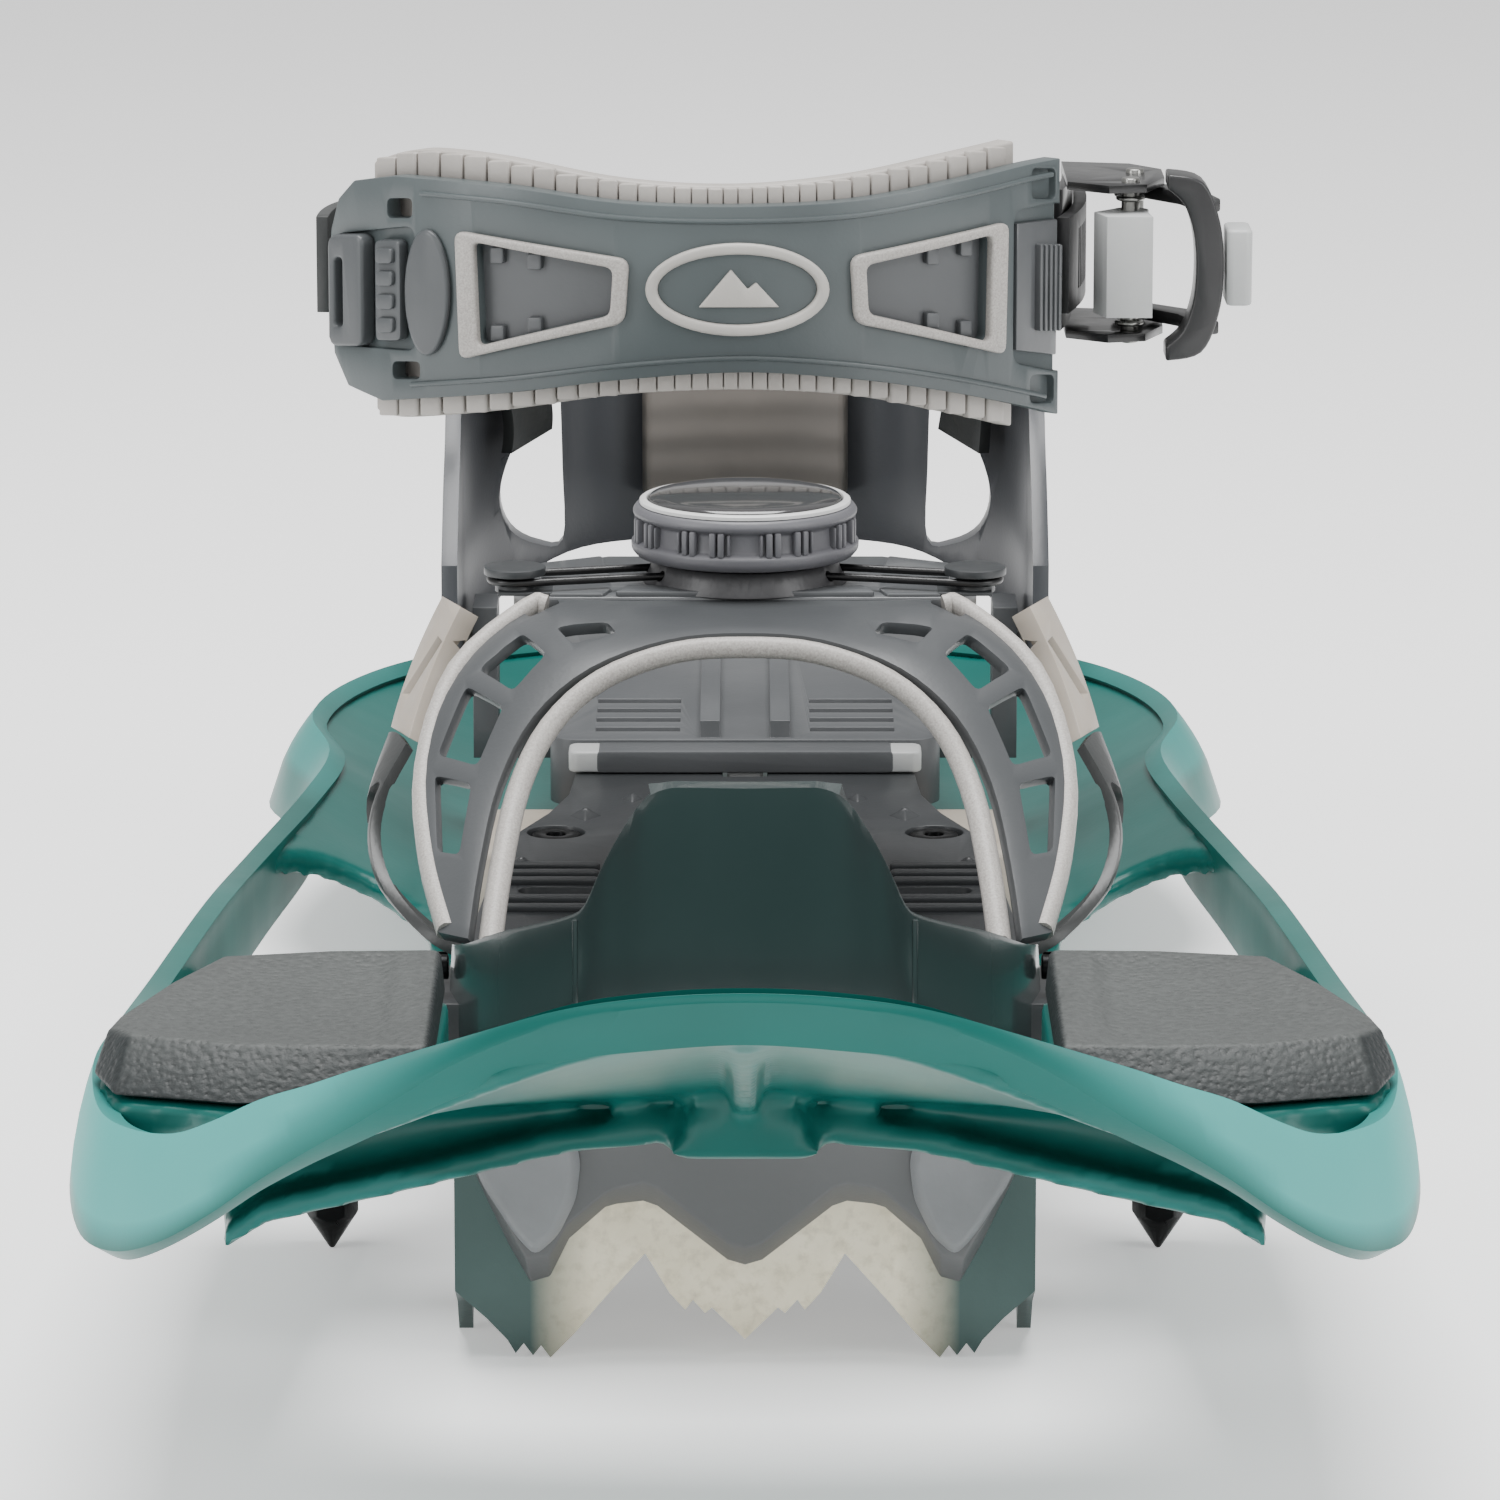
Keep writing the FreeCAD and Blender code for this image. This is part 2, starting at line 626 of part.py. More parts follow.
def lace_guide():
    """Curved guide that turns the lace at one side of the hood."""
    cx, cy, z = lace_centre()
    post = rod((cx, cy, z - 2.2), (0, 0, 1), lace_spread - lace_radius - 0.15, 3.2)
    cap = rod((cx, cy, z + 1.0), (0, 0, 1), lace_spread + 1.2, 1.4)
    foot = box(cx - 7, cx + 3, cy - 5, cy + 5, z - 2.25, z - 1.6)
    return post.fuse([cap, foot])


lace_angle = 15.0


def lace_centre():
    """Centre of the right lace turn."""
    angle = math.radians(-lace_angle)
    return (dial_x + lace_reach * math.cos(angle), dial_y + lace_reach * math.sin(angle), instep_top + 2.3)


def lace_loop():
    """Lace on the right: out of the dial base, round the guide and back."""
    r, start, end = lace_spread, 11.0, lace_reach
    z = instep_top + 2.3
    out = Part.LineSegment(V(start, -r, z), V(end, -r, z)).toShape()
    turn = Part.Arc(V(end, -r, z), V(end + r, 0, z), V(end, r, z)).toShape()
    back = Part.LineSegment(V(end, r, z), V(start, r, z)).toShape()
    path = Part.Wire([out, turn, back])
    circle = Part.Wire(Part.Circle(V(start, -r, z), V(1, 0, 0), lace_radius).toShape())
    tube = path.makePipeShell([circle], True, False)
    tube.rotate(V(0, 0, 0), V(0, 0, 1), -lace_angle)
    tube.translate(V(dial_x, dial_y, 0))
    return tube


def dial_base():
    """Round housing with a well for the spool and ports for the lace."""
    z = instep_top + 0.05
    body = Part.makeCone(dial_radius - 2.3, dial_radius - 4.3, 4.2, V(dial_x, dial_y, z), V(0, 0, 1))
    well = rod((dial_x, dial_y, z + 0.8), (0, 0, 1), spool_radius + 0.6, 10)
    shape = body.cut(well)
    for turn in (0, 180):
        for side in (-1, 1):
            angle = math.radians(turn) + (-1 if turn == 0 else 1) * math.radians(lace_angle)
            ux, uy = math.cos(angle), math.sin(angle)
            x = dial_x - uy * side * lace_spread
            y = dial_y + ux * side * lace_spread
            port = rod((x, y, instep_top + 2.3), (ux, uy, 0), lace_radius + 0.3, 40)
            shape = shape.cut(port)
    return shape


def dial_spool():
    """Flanged drum that winds the lace, with a drive shaft up into the knob."""
    z = instep_top + 0.05 + 0.8 + 0.15
    low = rod((dial_x, dial_y, z), (0, 0, 1), spool_radius, 0.7)
    drum = rod((dial_x, dial_y, z), (0, 0, 1), spool_radius - 2.6, 3.2)
    high = rod((dial_x, dial_y, z + 2.6), (0, 0, 1), spool_radius, 0.7)
    shaft = rod((dial_x, dial_y, z), (0, 0, 1), 3.5, 8)
    return low.fuse([drum, high, shaft])


def knob_bottom():
    """Height of the underside of the knob."""
    return instep_top + 4.6


def dial_knob():
    """Grip ring of the dial, with a toothed grip and a closed top."""
    z, r = knob_bottom(), dial_radius
    body = rod((dial_x, dial_y, z), (0, 0, 1), r, dial_height - 2)
    body = rounded(body, 1.4, lambda e: e.BoundBox.ZLength < 1e-6)
    for k in range(18):
        angle = math.radians(20 * k)
        x, y = dial_x + (r + 0.7) * math.cos(angle), dial_y + (r + 0.7) * math.sin(angle)
        body = body.cut(rod((x, y, z + 2.4), (0, 0, 1), 1.6, dial_height - 6.8))
    return body.cut(rod((dial_x, dial_y, z - 1), (0, 0, 1), 3.7, dial_height - 5))


def dial_ring():
    """Thin pale ring on top of the grip."""
    z, r = knob_bottom() + dial_height - 2 + 0.02, dial_radius - 1.6
    ring = rod((dial_x, dial_y, z), (0, 0, 1), r, 1.0)
    return ring.cut(rod((dial_x, dial_y, z - 1), (0, 0, 1), r - 1.6, 3))


def dial_cap():
    """Domed gloss cap inside the ring."""
    z, r = knob_bottom() + dial_height - 2 + 0.02, dial_radius - 3.3
    dome_rise, sphere = 2.8, 60.0
    disc = rod((dial_x, dial_y, z), (0, 0, 1), r, dome_rise)
    ball = Part.makeSphere(sphere, V(dial_x, dial_y, z + dome_rise - sphere))
    return disc.common(ball)


link_rows = [[(53, -6, 107), (57, 9, 106)], [(58, -13, 97), (62, 3, 96)], [(62, -24, 86), (66, -10, 85)]]


def side_link():
    """Pale slotted link between the instep plate and a side strap."""
    body = strip(link_rows, 4.0, hood_inside)
    slot = box(52, 80, -9, -4, 90, 101)
    return body.cut(slot)


def side_strap():
    """Flexible strap from a link down to the edge of the sole plate."""
    rows = [[(62.4, -24.8, 85.2), (66.4, -10.8, 84.2)], [(66.5, -37, 74), (68.5, -26, 72)],
            [(66, -50, 63), (66.5, -39, 61)], [(58, -61, 57), (58, -50, 55.5)],
            [(51.5, -63, 53.5), (51.5, -52, 53)]]
    return strip(rows, 2.2, lambda p: (30, p.y, 80))


def hood_rivets():
    """Rivets through the feet of the hood and the side links."""
    solids = []
    for side in (-1, 1):
        solids.append(rod((side * 53.8, -57.5, 51.5), (side, 0, 0), 2.2, 2.0))
        solids.append(rod((side * 55.2, -101.5, 62), (-side, 0, 0), 2.2, 3.4))
    return Part.makeCompound(solids)


# ---- heel unit ----
def heel_plate():
    """Sliding heel plate with a channel for the tongue and arms for the highback."""
    z0 = sole_height - sole_thickness + 0.5
    w = heel_half_width
    body = rounded(box(-w, w, heel_front, heel_rear, z0, heel_top), 6, upright)
    channel = box(-tongue_half_width - slide_clearance, tongue_half_width + slide_clearance,
                  heel_front - 1, heel_rear - 8, z0 - 1,
                  sole_height - sole_thickness + 2 + tongue_thickness + slide_clearance)
    shape = body.cut(channel)
    for side in (-1, 1):
        a, b = sorted((side * 5, side * 9))
        shape = shape.fuse(box(a, b, heel_front + 2, 205, heel_top - 1, heel_top + 3.5))
        a, b = sorted((side * (w - 2), side * arm_outer))
        foot = box(a, b, highback_pivot_y - 8, highback_pivot_y + 7, z0, z0 + 6)
        a, b = sorted((side * (arm_outer - arm_thickness), side * arm_outer))
        arm = box(a, b, highback_pivot_y - 8, highback_pivot_y + 7, z0, highback_pivot_z + 8)
        shape = shape.fuse([foot, arm])
        for k in range(4):
            y = heel_front + 8 + 9 * k
            a, b = sorted((side * 13, side * 30))
            shape = shape.cut(box(a, b, y, y + 4, heel_top - 2.0, heel_top + 1))
    bar = rod((-100, highback_pivot_y, highback_pivot_z), (1, 0, 0), highback_pin_radius + 0.02, 200)
    return shape.cut(bar)


def length_latch():
    """Pale catch across the front of the heel plate that locks it on the tongue."""
    z0 = sole_height + 0.3
    body = box(-35, 35, heel_front - 9, heel_front - FIT, z0, z0 + 4.2)
    body = rounded(body, 2, upright)
    tooth = box(-3.5, 3.5, heel_front - 8, heel_front - 3, z0 - 6.5, z0 + 1)
    return body.fuse(tooth)


def highback_pins():
    """Pins on which the highback leans."""
    outer = highback_half_width + 2.2
    inner = arm_outer - arm_thickness - 0.5
    solids = []
    for side in (-1, 1):
        pin = rod((side * inner, highback_pivot_y, highback_pivot_z), (side, 0, 0),
                  highback_pin_radius, outer - inner)
        head = rod((side * (highback_half_width + 1.4), highback_pivot_y, highback_pivot_z), (side, 0, 0),
                   highback_pin_radius + 2, 1.6)
        solids.append(pin.fuse(head))
    return Part.makeCompound(solids)


def highback_line(inset):
    """Plan line of the right half of the highback with top and bottom heights."""
    w, r, t = highback_half_width - inset, highback_rear - inset, highback_top
    return [(0, r, t, 82), (22, r - 3, t - 1, 82), (40, r - 14, t - 5, 81), (w - 7, 160, 134, 76),
            (w - 0.6, 140, 126, 67), (w, 120, 113, 66), (w, 100, 94, 68)]


def highback_shell():
    """U-shaped shell round the heel with a leaf-shaped window each side."""
    rows = [[(x, y, z1), (x, y, z0)] for x, y, z1, z0 in both_halves(highback_line(0))]
    shell = strip(rows, highback_wall, lambda p: (0, 130, p.z))
    leaf = [(38.5, 84), (44, 85), (50, 90), (51, 97), (48, 106), (42, 114), (39, 117)]
    window = plate_xz(leaf, 150, 215)
    shell = shell.cut([window, mirrored(window)])
    bar = rod((-100, highback_pivot_y, highback_pivot_z), (1, 0, 0), highback_pin_radius + 0.1, 200)
    return shell.cut(bar)


def heel_pad():
    """Rubber pad inside the back of the highback."""
    inset = highback_wall + FIT
    line = [(0, highback_rear - inset), (22, highback_rear - 3.6 - inset)]
    rows = [[(x, y, 121), (x, y, 92)] for x, y in both_halves(line)]
    return strip(rows, 7.0, lambda p: (0, 100, p.z))


def anchor_strap(side, reach):
    """Strap that carries one end of the ankle cuff, riveted inside the highback."""
    x_in = 50.5
    rows = [[(x_in, 150, 108), (x_in - 8, 168, 110)], [(x_in + 1, 147, 122), (x_in - 5, 164, 124)],
            [(x_in + 5, 138, 138), (x_in + 2, 152, 140)], [(reach - 1.2, 126, 150), (reach - 2.4, 138, 154)],
            [(reach, 116, 153), (reach, 122, 160)]]
    strap = strip([[(side * x, y, z) for x, y, z in row] for row in rows], 2.4, lambda p: (0, p.y, p.z))
    return strap


# ---- ankle cuff ----
cuff_y = cuff_front + cuff_radius


def cuff_point(angle, radius, rise):
    """Point on the cuff's curve, at a height above its middle line, which droops to both ends."""
    a = math.radians(angle)
    middle = cuff_z + cuff_crown - cuff_droop * (angle / cuff_half_angle) ** 2
    return (cuff_x + radius * math.sin(a), cuff_y - radius * math.cos(a), middle + rise)


def cuff_half_height(angle):
    """Half the height of the bow-tie outline at an angle."""
    left = angle < cuff_middle_angle
    share = abs(angle - cuff_middle_angle) / (cuff_half_angle + (cuff_middle_angle if left else -cuff_middle_angle))
    end = cuff_left_height if left else cuff_right_height
    return (cuff_waist_height + (end - cuff_waist_height) * share * share) / 2


def cuff_band(radius, wall, half_angle, extra, steps=9):
    """Bow-tie band round the front of the ankle, with extra height on both edges."""
    rows = []
    for i in range(steps):
        angle = half_angle * (-1 + 2 * i / (steps - 1))
        half = cuff_half_height(angle) + extra
        rows.append([cuff_point(angle, radius, half), cuff_point(angle, radius, -half)])
    return strip(rows, wall, lambda p: (cuff_x, cuff_y, p.z))


def cuff_window(side, radius, depth, grow):
    """Solid through one trapezoid window of the cuff."""
    wide, narrow, near, far = 10.2 + grow, 4.4 + grow, 15.6 - grow * 0.6, 34.8 + grow * 0.6
    rows = []
    for share in (0, 0.5, 1):
        angle = cuff_middle_angle + side * (near + (far - near) * share)
        half = narrow + (wide - narrow) * share
        rows.append([cuff_point(angle, radius, half), cuff_point(angle, radius, -half)])
    return strip(rows, depth, lambda p: (cuff_x, cuff_y, p.z))


def cuff_shell():
    """Stiff outer band of the cuff."""
    shell = cuff_band(cuff_radius, cuff_wall, cuff_half_angle, 0)
    for side in (-1, 1):
        shell = shell.cut(cuff_window(side, cuff_radius + 3, 12, 0))
        a = cuff_point(side * 48.5, cuff_radius, 0)
        slot = box(a[0] - 2.2, a[0] + 2.2, a[1] - 12, a[1] + 12, a[2] - 11, a[2] + 11)
        shell = shell.cut(slot)
    return shell


def cuff_liner():
    """Soft ribbed liner behind the shell."""
    return cuff_band(cuff_radius - cuff_wall - FIT, liner_wall, cuff_half_angle - 5, liner_overlap)


def cuff_badge():
    """Plain oval badge on the middle of the cuff."""
    rows = []
    for angle in range(-14, 15, 4):
        rows.append([cuff_point(cuff_middle_angle + angle, cuff_radius + 2, rise) for rise in (10, -10)])
    ring = strip(rows, 1.7, lambda p: (cuff_x, cuff_y, p.z))
    centre = cuff_point(cuff_middle_angle, cuff_radius, 0)
    curve = Part.Ellipse(V(0, 0, 0), 17.8, 9.1).toShape()
    oval_bar = Part.Face(Part.Wire(curve)).extrude(V(0, 0, 40))
    oval_bar.rotate(V(0, 0, 0), V(1, 0, 0), 90)
    oval_bar.translate(V(centre[0], centre[1] + 20, centre[2]))
    return ring.common(oval_bar)


def window_plates():
    """Dark inserts that close the windows, set back in the shell."""
    plates = [cuff_window(side, cuff_radius - 1.6, 1.8, -0.25) for side in (-1, 1)]
    return Part.makeCompound(plates)


def window_trims():
    """Pale raised frames round the windows."""
    frames = []
    for side in (-1, 1):
        frame = cuff_window(side, cuff_radius + 1.6, 1.5, 2.0)
        frames.append(frame.cut(cuff_window(side, cuff_radius + 6, 12, 0)))
    return Part.makeCompound(frames)


def cuff_hook():
    """Hook at the left end that the link strap is looped through."""
    x, y, z = cuff_point(-cuff_half_angle + 4.5, cuff_radius, 0)
    bar = box(x - 4.2, x - 0.4, y - 5, y + 2, z - 10.2, z + 10.2)
    return rounded(bar, 1.5, upright)


def cuff_link():
    """Link from the shell's left end to the hinge pin."""
    h = ladder_width / 2
    line = [(-84.3, 84), (-83.4, 97), (-78, 111), (hinge_x - 3.4, hinge_y - 0.5)]
    rows = [[(x, y, cuff_z + h), (x, y, cuff_z - h)] for x, y in line]
    strap = strip(rows, 2.4, lambda p: (cuff_x, 120, p.z))
    barrel = rod((hinge_x, hinge_y, cuff_z - h), (0, 0, 1), hinge_pin_radius + 2.2, 2 * h)
    bore = rod((hinge_x, hinge_y, cuff_z - 40), (0, 0, 1), hinge_pin_radius + 0.1, 80)
    return strap.fuse(barrel).cut(bore)


def hinge_bracket():
    """Fork on the left anchor strap that holds the cuff's hinge pin."""
    h = ladder_width / 2 + 0.4
    fork = box(hinge_x - 4.5, hinge_x + 8, hinge_y - 4.5, hinge_y + 4.5, cuff_z - h - 2.4, cuff_z + h + 2.4)
    gap = box(hinge_x - 20, hinge_x + 5.5, hinge_y - 20, hinge_y + 20, cuff_z - h, cuff_z + h)
    bore = rod((hinge_x, hinge_y, cuff_z - 40), (0, 0, 1), hinge_pin_radius + 0.02, 80)
    return fork.cut([gap, bore])


def cuff_hinge_pin():
    """Pin of the cuff's hinge."""
    h = ladder_width / 2 + 3.2
    pin = rod((hinge_x, hinge_y, cuff_z - h), (0, 0, 1), hinge_pin_radius, 2 * h)
    head = rod((hinge_x, hinge_y, cuff_z + h - 0.2), (0, 0, 1), hinge_pin_radius + 1.6, 1.2)
    return pin.fuse(head)


def ladder_arc(radius, wall, first, last, half):
    """Curved bar centred on the cuff's hinge."""
    rows = []
    for i in range(6):
        a = math.radians(first + (last - first) * i / 5)
        x, y = hinge_x + radius * math.cos(a), hinge_y + radius * math.sin(a)
        rows.append([(x, y, cuff_z + half), (x, y, cuff_z - half)])
    return strip(rows, wall, lambda p: (hinge_x, hinge_y, p.z))


def ladder_strap():
    """Toothed strap from the cuff's right end through the buckle, curved about the hinge."""
    outer = ladder_radius + ladder_thickness / 2
    strap = ladder_arc(outer, ladder_thickness, -15.6, 3.0, ladder_width / 2)
    for i in range(14):
        a = math.radians(-11 + i)
        x, y = hinge_x + outer * math.cos(a), hinge_y + outer * math.sin(a)
        groove = box(-0.5, 0.5, -0.5, 0.5, cuff_z - 6, cuff_z + 6)
        groove.rotate(V(0, 0, 0), V(0, 0, 1), math.degrees(a) + 45)
        groove.translate(V(x, y, 0))
        strap = strap.cut(groove)
    return strap


def ratchet_frame():
    """Buckle frame: a floor behind the strap and two cheeks for the pins."""
    h = buckle_height / 2
    inner = ladder_radius - ladder_thickness / 2 - 0.5
    floor = ladder_arc(inner, 2.0, -12.5, 1.5, h)
    x0, x1 = 63.5, 83.0
    cheek_outline = [(x0, 90), (x0 + 8, 84), (x1 - 4, 86), (x1, 96), (x1, 108), (x1 - 6, 116), (x0, 119)]
    cheeks = [plate_xy(cheek_outline, cuff_z + h, cuff_z + h + 1.6),
              plate_xy(cheek_outline, cuff_z - h - 1.6, cuff_z - h)]
    frame = floor.fuse(cheeks)
    bores = [rod((x, y, cuff_z - 40), (0, 0, 1), buckle_pin_radius + 0.02, 80) for x, y in (lever_pin, pawl_pin)]
    return frame.cut(bores)


def ratchet_pins():
    """Steel pins across the buckle cheeks."""
    h = buckle_height / 2 + 2.4
    return Part.makeCompound([rod((x, y, cuff_z - h), (0, 0, 1), buckle_pin_radius, 2 * h)
                              for x, y in (lever_pin, pawl_pin)])


def ratchet_lever():
    """Crescent lever that pulls the strap tight."""
    x, y = lever_pin
    h = buckle_height / 2 - 0.4
    hub = rod((x, y, cuff_z - h), (0, 0, 1), 4.2, 2 * h)
    arm = plate_xy([(x - 1, y + 4.1), (x + 4, y + 1), (x + 13, y - 8), (x + 16, y - 22), (x + 12, y - 24),
                    (x + 8, y - 12), (x + 2, y - 4.1)], cuff_z - h, cuff_z + h)
    horn = plate_xz([(x + 5, cuff_z - 18.7), (x + 12, cuff_z - 17), (x + 15.5, cuff_z - 9),
                     (x + 16.5, cuff_z), (x + 15.5, cuff_z + 9), (x + 12, cuff_z + 17),
                     (x + 5, cuff_z + 18.7), (x + 9.5, cuff_z + 12), (x + 12, cuff_z), (x + 9.5, cuff_z - 12)],
                    y - 24, y - 14)
    shape = hub.fuse([arm, horn])
    return shape.cut(rod((x, y, cuff_z - 40), (0, 0, 1), buckle_pin_radius + 0.1, 80))


def lever_tip():
    """Pale tip at the end of the lever."""
    x, y = lever_pin
    block = box(x + 16.9, x + 22.0, y - 24, y - 12, cuff_z - 7.5, cuff_z + 7.5)
    return rounded(block, 1.5, upright)


def ratchet_pawl():
    """Pale pawl that holds the strap's teeth, released by its front edge."""
    x, y = pawl_pin
    h = buckle_height / 2 - 4.0
    hub = rod((x, y, cuff_z - h), (0, 0, 1), 3.6, 2 * h)
    arm = plate_xy([(x - 2, y + 3), (x + 3, y), (x + 4, y - 10), (x - 5, y - 10), (x - 7.3, y - 3)],
                   cuff_z - h, cuff_z + h)
    return hub.fuse(arm).cut(rod((x, y, cuff_z - 40), (0, 0, 1), buckle_pin_radius + 0.1, 80))


def ratchet_springs():
    """Torsion spring rings on the pawl pin, one each end."""
    x, y = pawl_pin
    low = cuff_z - buckle_height / 2 + 1.0
    high = cuff_z + buckle_height / 2 - 2.2
    rings = [Part.makeTorus(2.4, 0.5, V(x, y, z + 0.6), V(0, 0, 1)) for z in (low, high)]
    return Part.makeCompound(rings)


# ---- write the nodes ----
os.makedirs("parts", exist_ok=True)
save("deck_frame", deck_frame())
right_pad = shock_pad()
save("shock_pad_right", right_pad)
save("shock_pad_left", mirrored(right_pad))
right_rest = heel_rest()
save("heel_rest_right", right_rest)
save("heel_rest_left", mirrored(right_rest))
save("studs", studs())
save("stud_screws", stud_screws())
save("pivot_axle", pivot_axle())
save("axle_clip", axle_clip())
save("axle_washers", both(axle_washer()))
save("front_plate", front_plate())
save("plate_screws", plate_screws())
hood = toe_hood()
inner_trim = hood_trim_inner().cut(hood)
outer_trim = hood_trim_outer().cut(hood)
save("toe_guard", toe_guard().cut([hood, inner_trim]))
save("crampon_cover", crampon_cover())
save("claw_covers", both(claw_cover()))
save("front_crampon", front_crampon())
save("crampon_rivets", crampon_rivets())
save("toe_hood", hood)
save("hood_trim_inner", inner_trim)
save("hood_trims_outer", both(outer_trim))
save("instep_plate", instep_plate())
save("lace_guides", both(lace_guide()))
save("laces", both(lace_loop()))
save("dial_base", dial_base())
save("dial_spool", dial_spool())
save("dial_knob", dial_knob())
save("dial_ring", dial_ring())
save("dial_cap", dial_cap())
save("side_links", both(side_link()))
save("side_straps", both(side_strap()))
save("hood_rivets", hood_rivets())
save("heel_plate", heel_plate())
save("length_latch", length_latch())
save("highback_pins", highback_pins())
save("highback_shell", highback_shell())
save("heel_pad", heel_pad())
save("anchor_strap_right", anchor_strap(1, right_strap_reach))
save("anchor_strap_left", anchor_strap(-1, left_strap_reach))
save("cuff_shell", cuff_shell())
save("cuff_liner", cuff_liner())
save("cuff_badge", cuff_badge())
save("window_plates", window_plates())
save("window_trims", window_trims())
save("cuff_hook", cuff_hook())
save("cuff_link", cuff_link())
save("hinge_bracket", hinge_bracket())
save("cuff_hinge_pin", cuff_hinge_pin())
save("ladder_strap", ladder_strap())
save("ratchet_frame", ratchet_frame())
save("ratchet_pins", ratchet_pins())
save("ratchet_lever", ratchet_lever())
save("lever_tip", lever_tip())
save("ratchet_pawl", ratchet_pawl())
save("ratchet_springs", ratchet_springs())
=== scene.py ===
import math
import bmesh
import bpy
from mathutils import Matrix, Vector


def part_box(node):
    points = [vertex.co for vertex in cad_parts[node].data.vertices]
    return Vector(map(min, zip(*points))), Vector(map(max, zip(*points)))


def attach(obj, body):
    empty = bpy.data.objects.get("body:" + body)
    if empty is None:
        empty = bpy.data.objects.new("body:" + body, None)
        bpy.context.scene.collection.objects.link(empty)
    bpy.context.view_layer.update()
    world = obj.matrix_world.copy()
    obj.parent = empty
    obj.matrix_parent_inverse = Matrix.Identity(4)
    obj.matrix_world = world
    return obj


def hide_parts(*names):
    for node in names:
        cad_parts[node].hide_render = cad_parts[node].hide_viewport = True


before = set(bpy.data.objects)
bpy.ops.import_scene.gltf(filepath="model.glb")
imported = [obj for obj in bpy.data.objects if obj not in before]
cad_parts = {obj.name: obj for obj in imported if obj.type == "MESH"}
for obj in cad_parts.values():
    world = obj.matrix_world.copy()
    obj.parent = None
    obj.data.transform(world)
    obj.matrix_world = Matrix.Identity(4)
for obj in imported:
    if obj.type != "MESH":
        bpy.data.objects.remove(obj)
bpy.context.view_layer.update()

scene = bpy.context.scene

# ---------------------------------------------------------------------------
# Studio: a pale sheet on the floor, a big soft light overhead and two soft side lights.
# The camera stands low in front of the tip, a metre and a third away.
# ---------------------------------------------------------------------------
camera_data = bpy.data.cameras.new("camera")
camera_data.lens = 176.0
camera_data.sensor_width = 36.0
camera_data.shift_x = 0.0033
camera_data.clip_end = 60.0
camera = bpy.data.objects.new("camera", camera_data)
camera.location = (0.0, -1.345, 0.3765)
camera.rotation_euler = (math.radians(77.5), 0.0, 0.0)
scene.collection.objects.link(camera)
scene.camera = camera


class Sum:
    """A shader socket that can be written in sums; each operator adds one Math node."""

    def __init__(self, finish, socket):
        self.finish, self.socket = finish, socket

    def _math(self, operation, *values):
        return self.finish.node("ShaderNodeMath", {"operation": operation}, values)

    def __add__(self, other):
        return self._math("ADD", self, other)

    def __radd__(self, other):
        return self._math("ADD", other, self)

    def __sub__(self, other):
        return self._math("SUBTRACT", self, other)

    def __mul__(self, other):
        return self._math("MULTIPLY", self, other)

    def clamped(self):
        return self._math("MINIMUM", self._math("MAXIMUM", self, 0.0), 1.0)


class Finish:
    """A node material: one Principled shader and the nodes that feed it."""

    def __init__(self, name, **constants):
        self.material = bpy.data.materials.new(name)
        self.material.use_nodes = True
        self.tree = self.material.node_tree
        self.tree.nodes.clear()
        self.shader = self.tree.nodes.new("ShaderNodeBsdfPrincipled")
        output = self.tree.nodes.new("ShaderNodeOutputMaterial")
        self.tree.links.new(self.shader.outputs[0], output.inputs[0])
        for label, value in constants.items():
            self.shader.inputs[label.replace("_", " ")].default_value = value

    def node(self, kind, settings=None, values=(), output=0):
        """Adds any node: its settings are set first, then its sockets by place or by name."""
        made = self.tree.nodes.new(kind)
        for label, value in (settings or {}).items():
            if label == "stops":
                ramp = made.color_ramp
                while len(ramp.elements) < len(value):
                    ramp.elements.new(0.5)
                for element, (place, colour) in zip(ramp.elements, value):
                    element.position = place
                    element.color = colour
            else:
                setattr(made, label, value)
        pairs = values.items() if isinstance(values, dict) else enumerate(values)
        for label, value in pairs:
            if isinstance(value, Sum):
                self.tree.links.new(value.socket, made.inputs[label])
            else:
                made.inputs[label].default_value = value
        return Sum(self, made.outputs[output])

    def place(self):
        return self.node("ShaderNodeTexCoord", output=3)

    def noise(self, scale, detail=3.0, roughness=0.5):
        values = {"Vector": self.place(), "Scale": scale, "Detail": detail, "Roughness": roughness}
        return self.node("ShaderNodeTexNoise", {}, values)

    def cells(self, scale):
        values = {"Vector": self.place(), "Scale": scale}
        return self.node("ShaderNodeTexVoronoi", {"feature": "SMOOTH_F1"}, values)

    def mix(self, share, first, second):
        """Colour mix."""
        return self.node("ShaderNodeMix", {"data_type": "RGBA"}, {0: share, 6: first, 7: second}, output=2)

    def feed(self, label, value):
        self.tree.links.new(value.socket, self.shader.inputs[label])

    def bump(self, height, distance, strength=1.0):
        values = {"Strength": strength, "Distance": distance, "Height": height}
        self.feed("Normal", self.node("ShaderNodeBump", {}, values))


def rgb(red, green, blue):
    """Linear colour from display values of 0 to 255, deepened for the soft studio light."""
    def linear(v):
        v = v / 255.0
        return (v / 12.92 if v <= 0.04045 else ((v + 0.055) / 1.055) ** 2.4) ** 1.3
    return (linear(red), linear(green), linear(blue), 1.0)


def placed(name, data):
    """New object in the scene."""
    made = bpy.data.objects.new(name, data)
    scene.collection.objects.link(made)
    return made


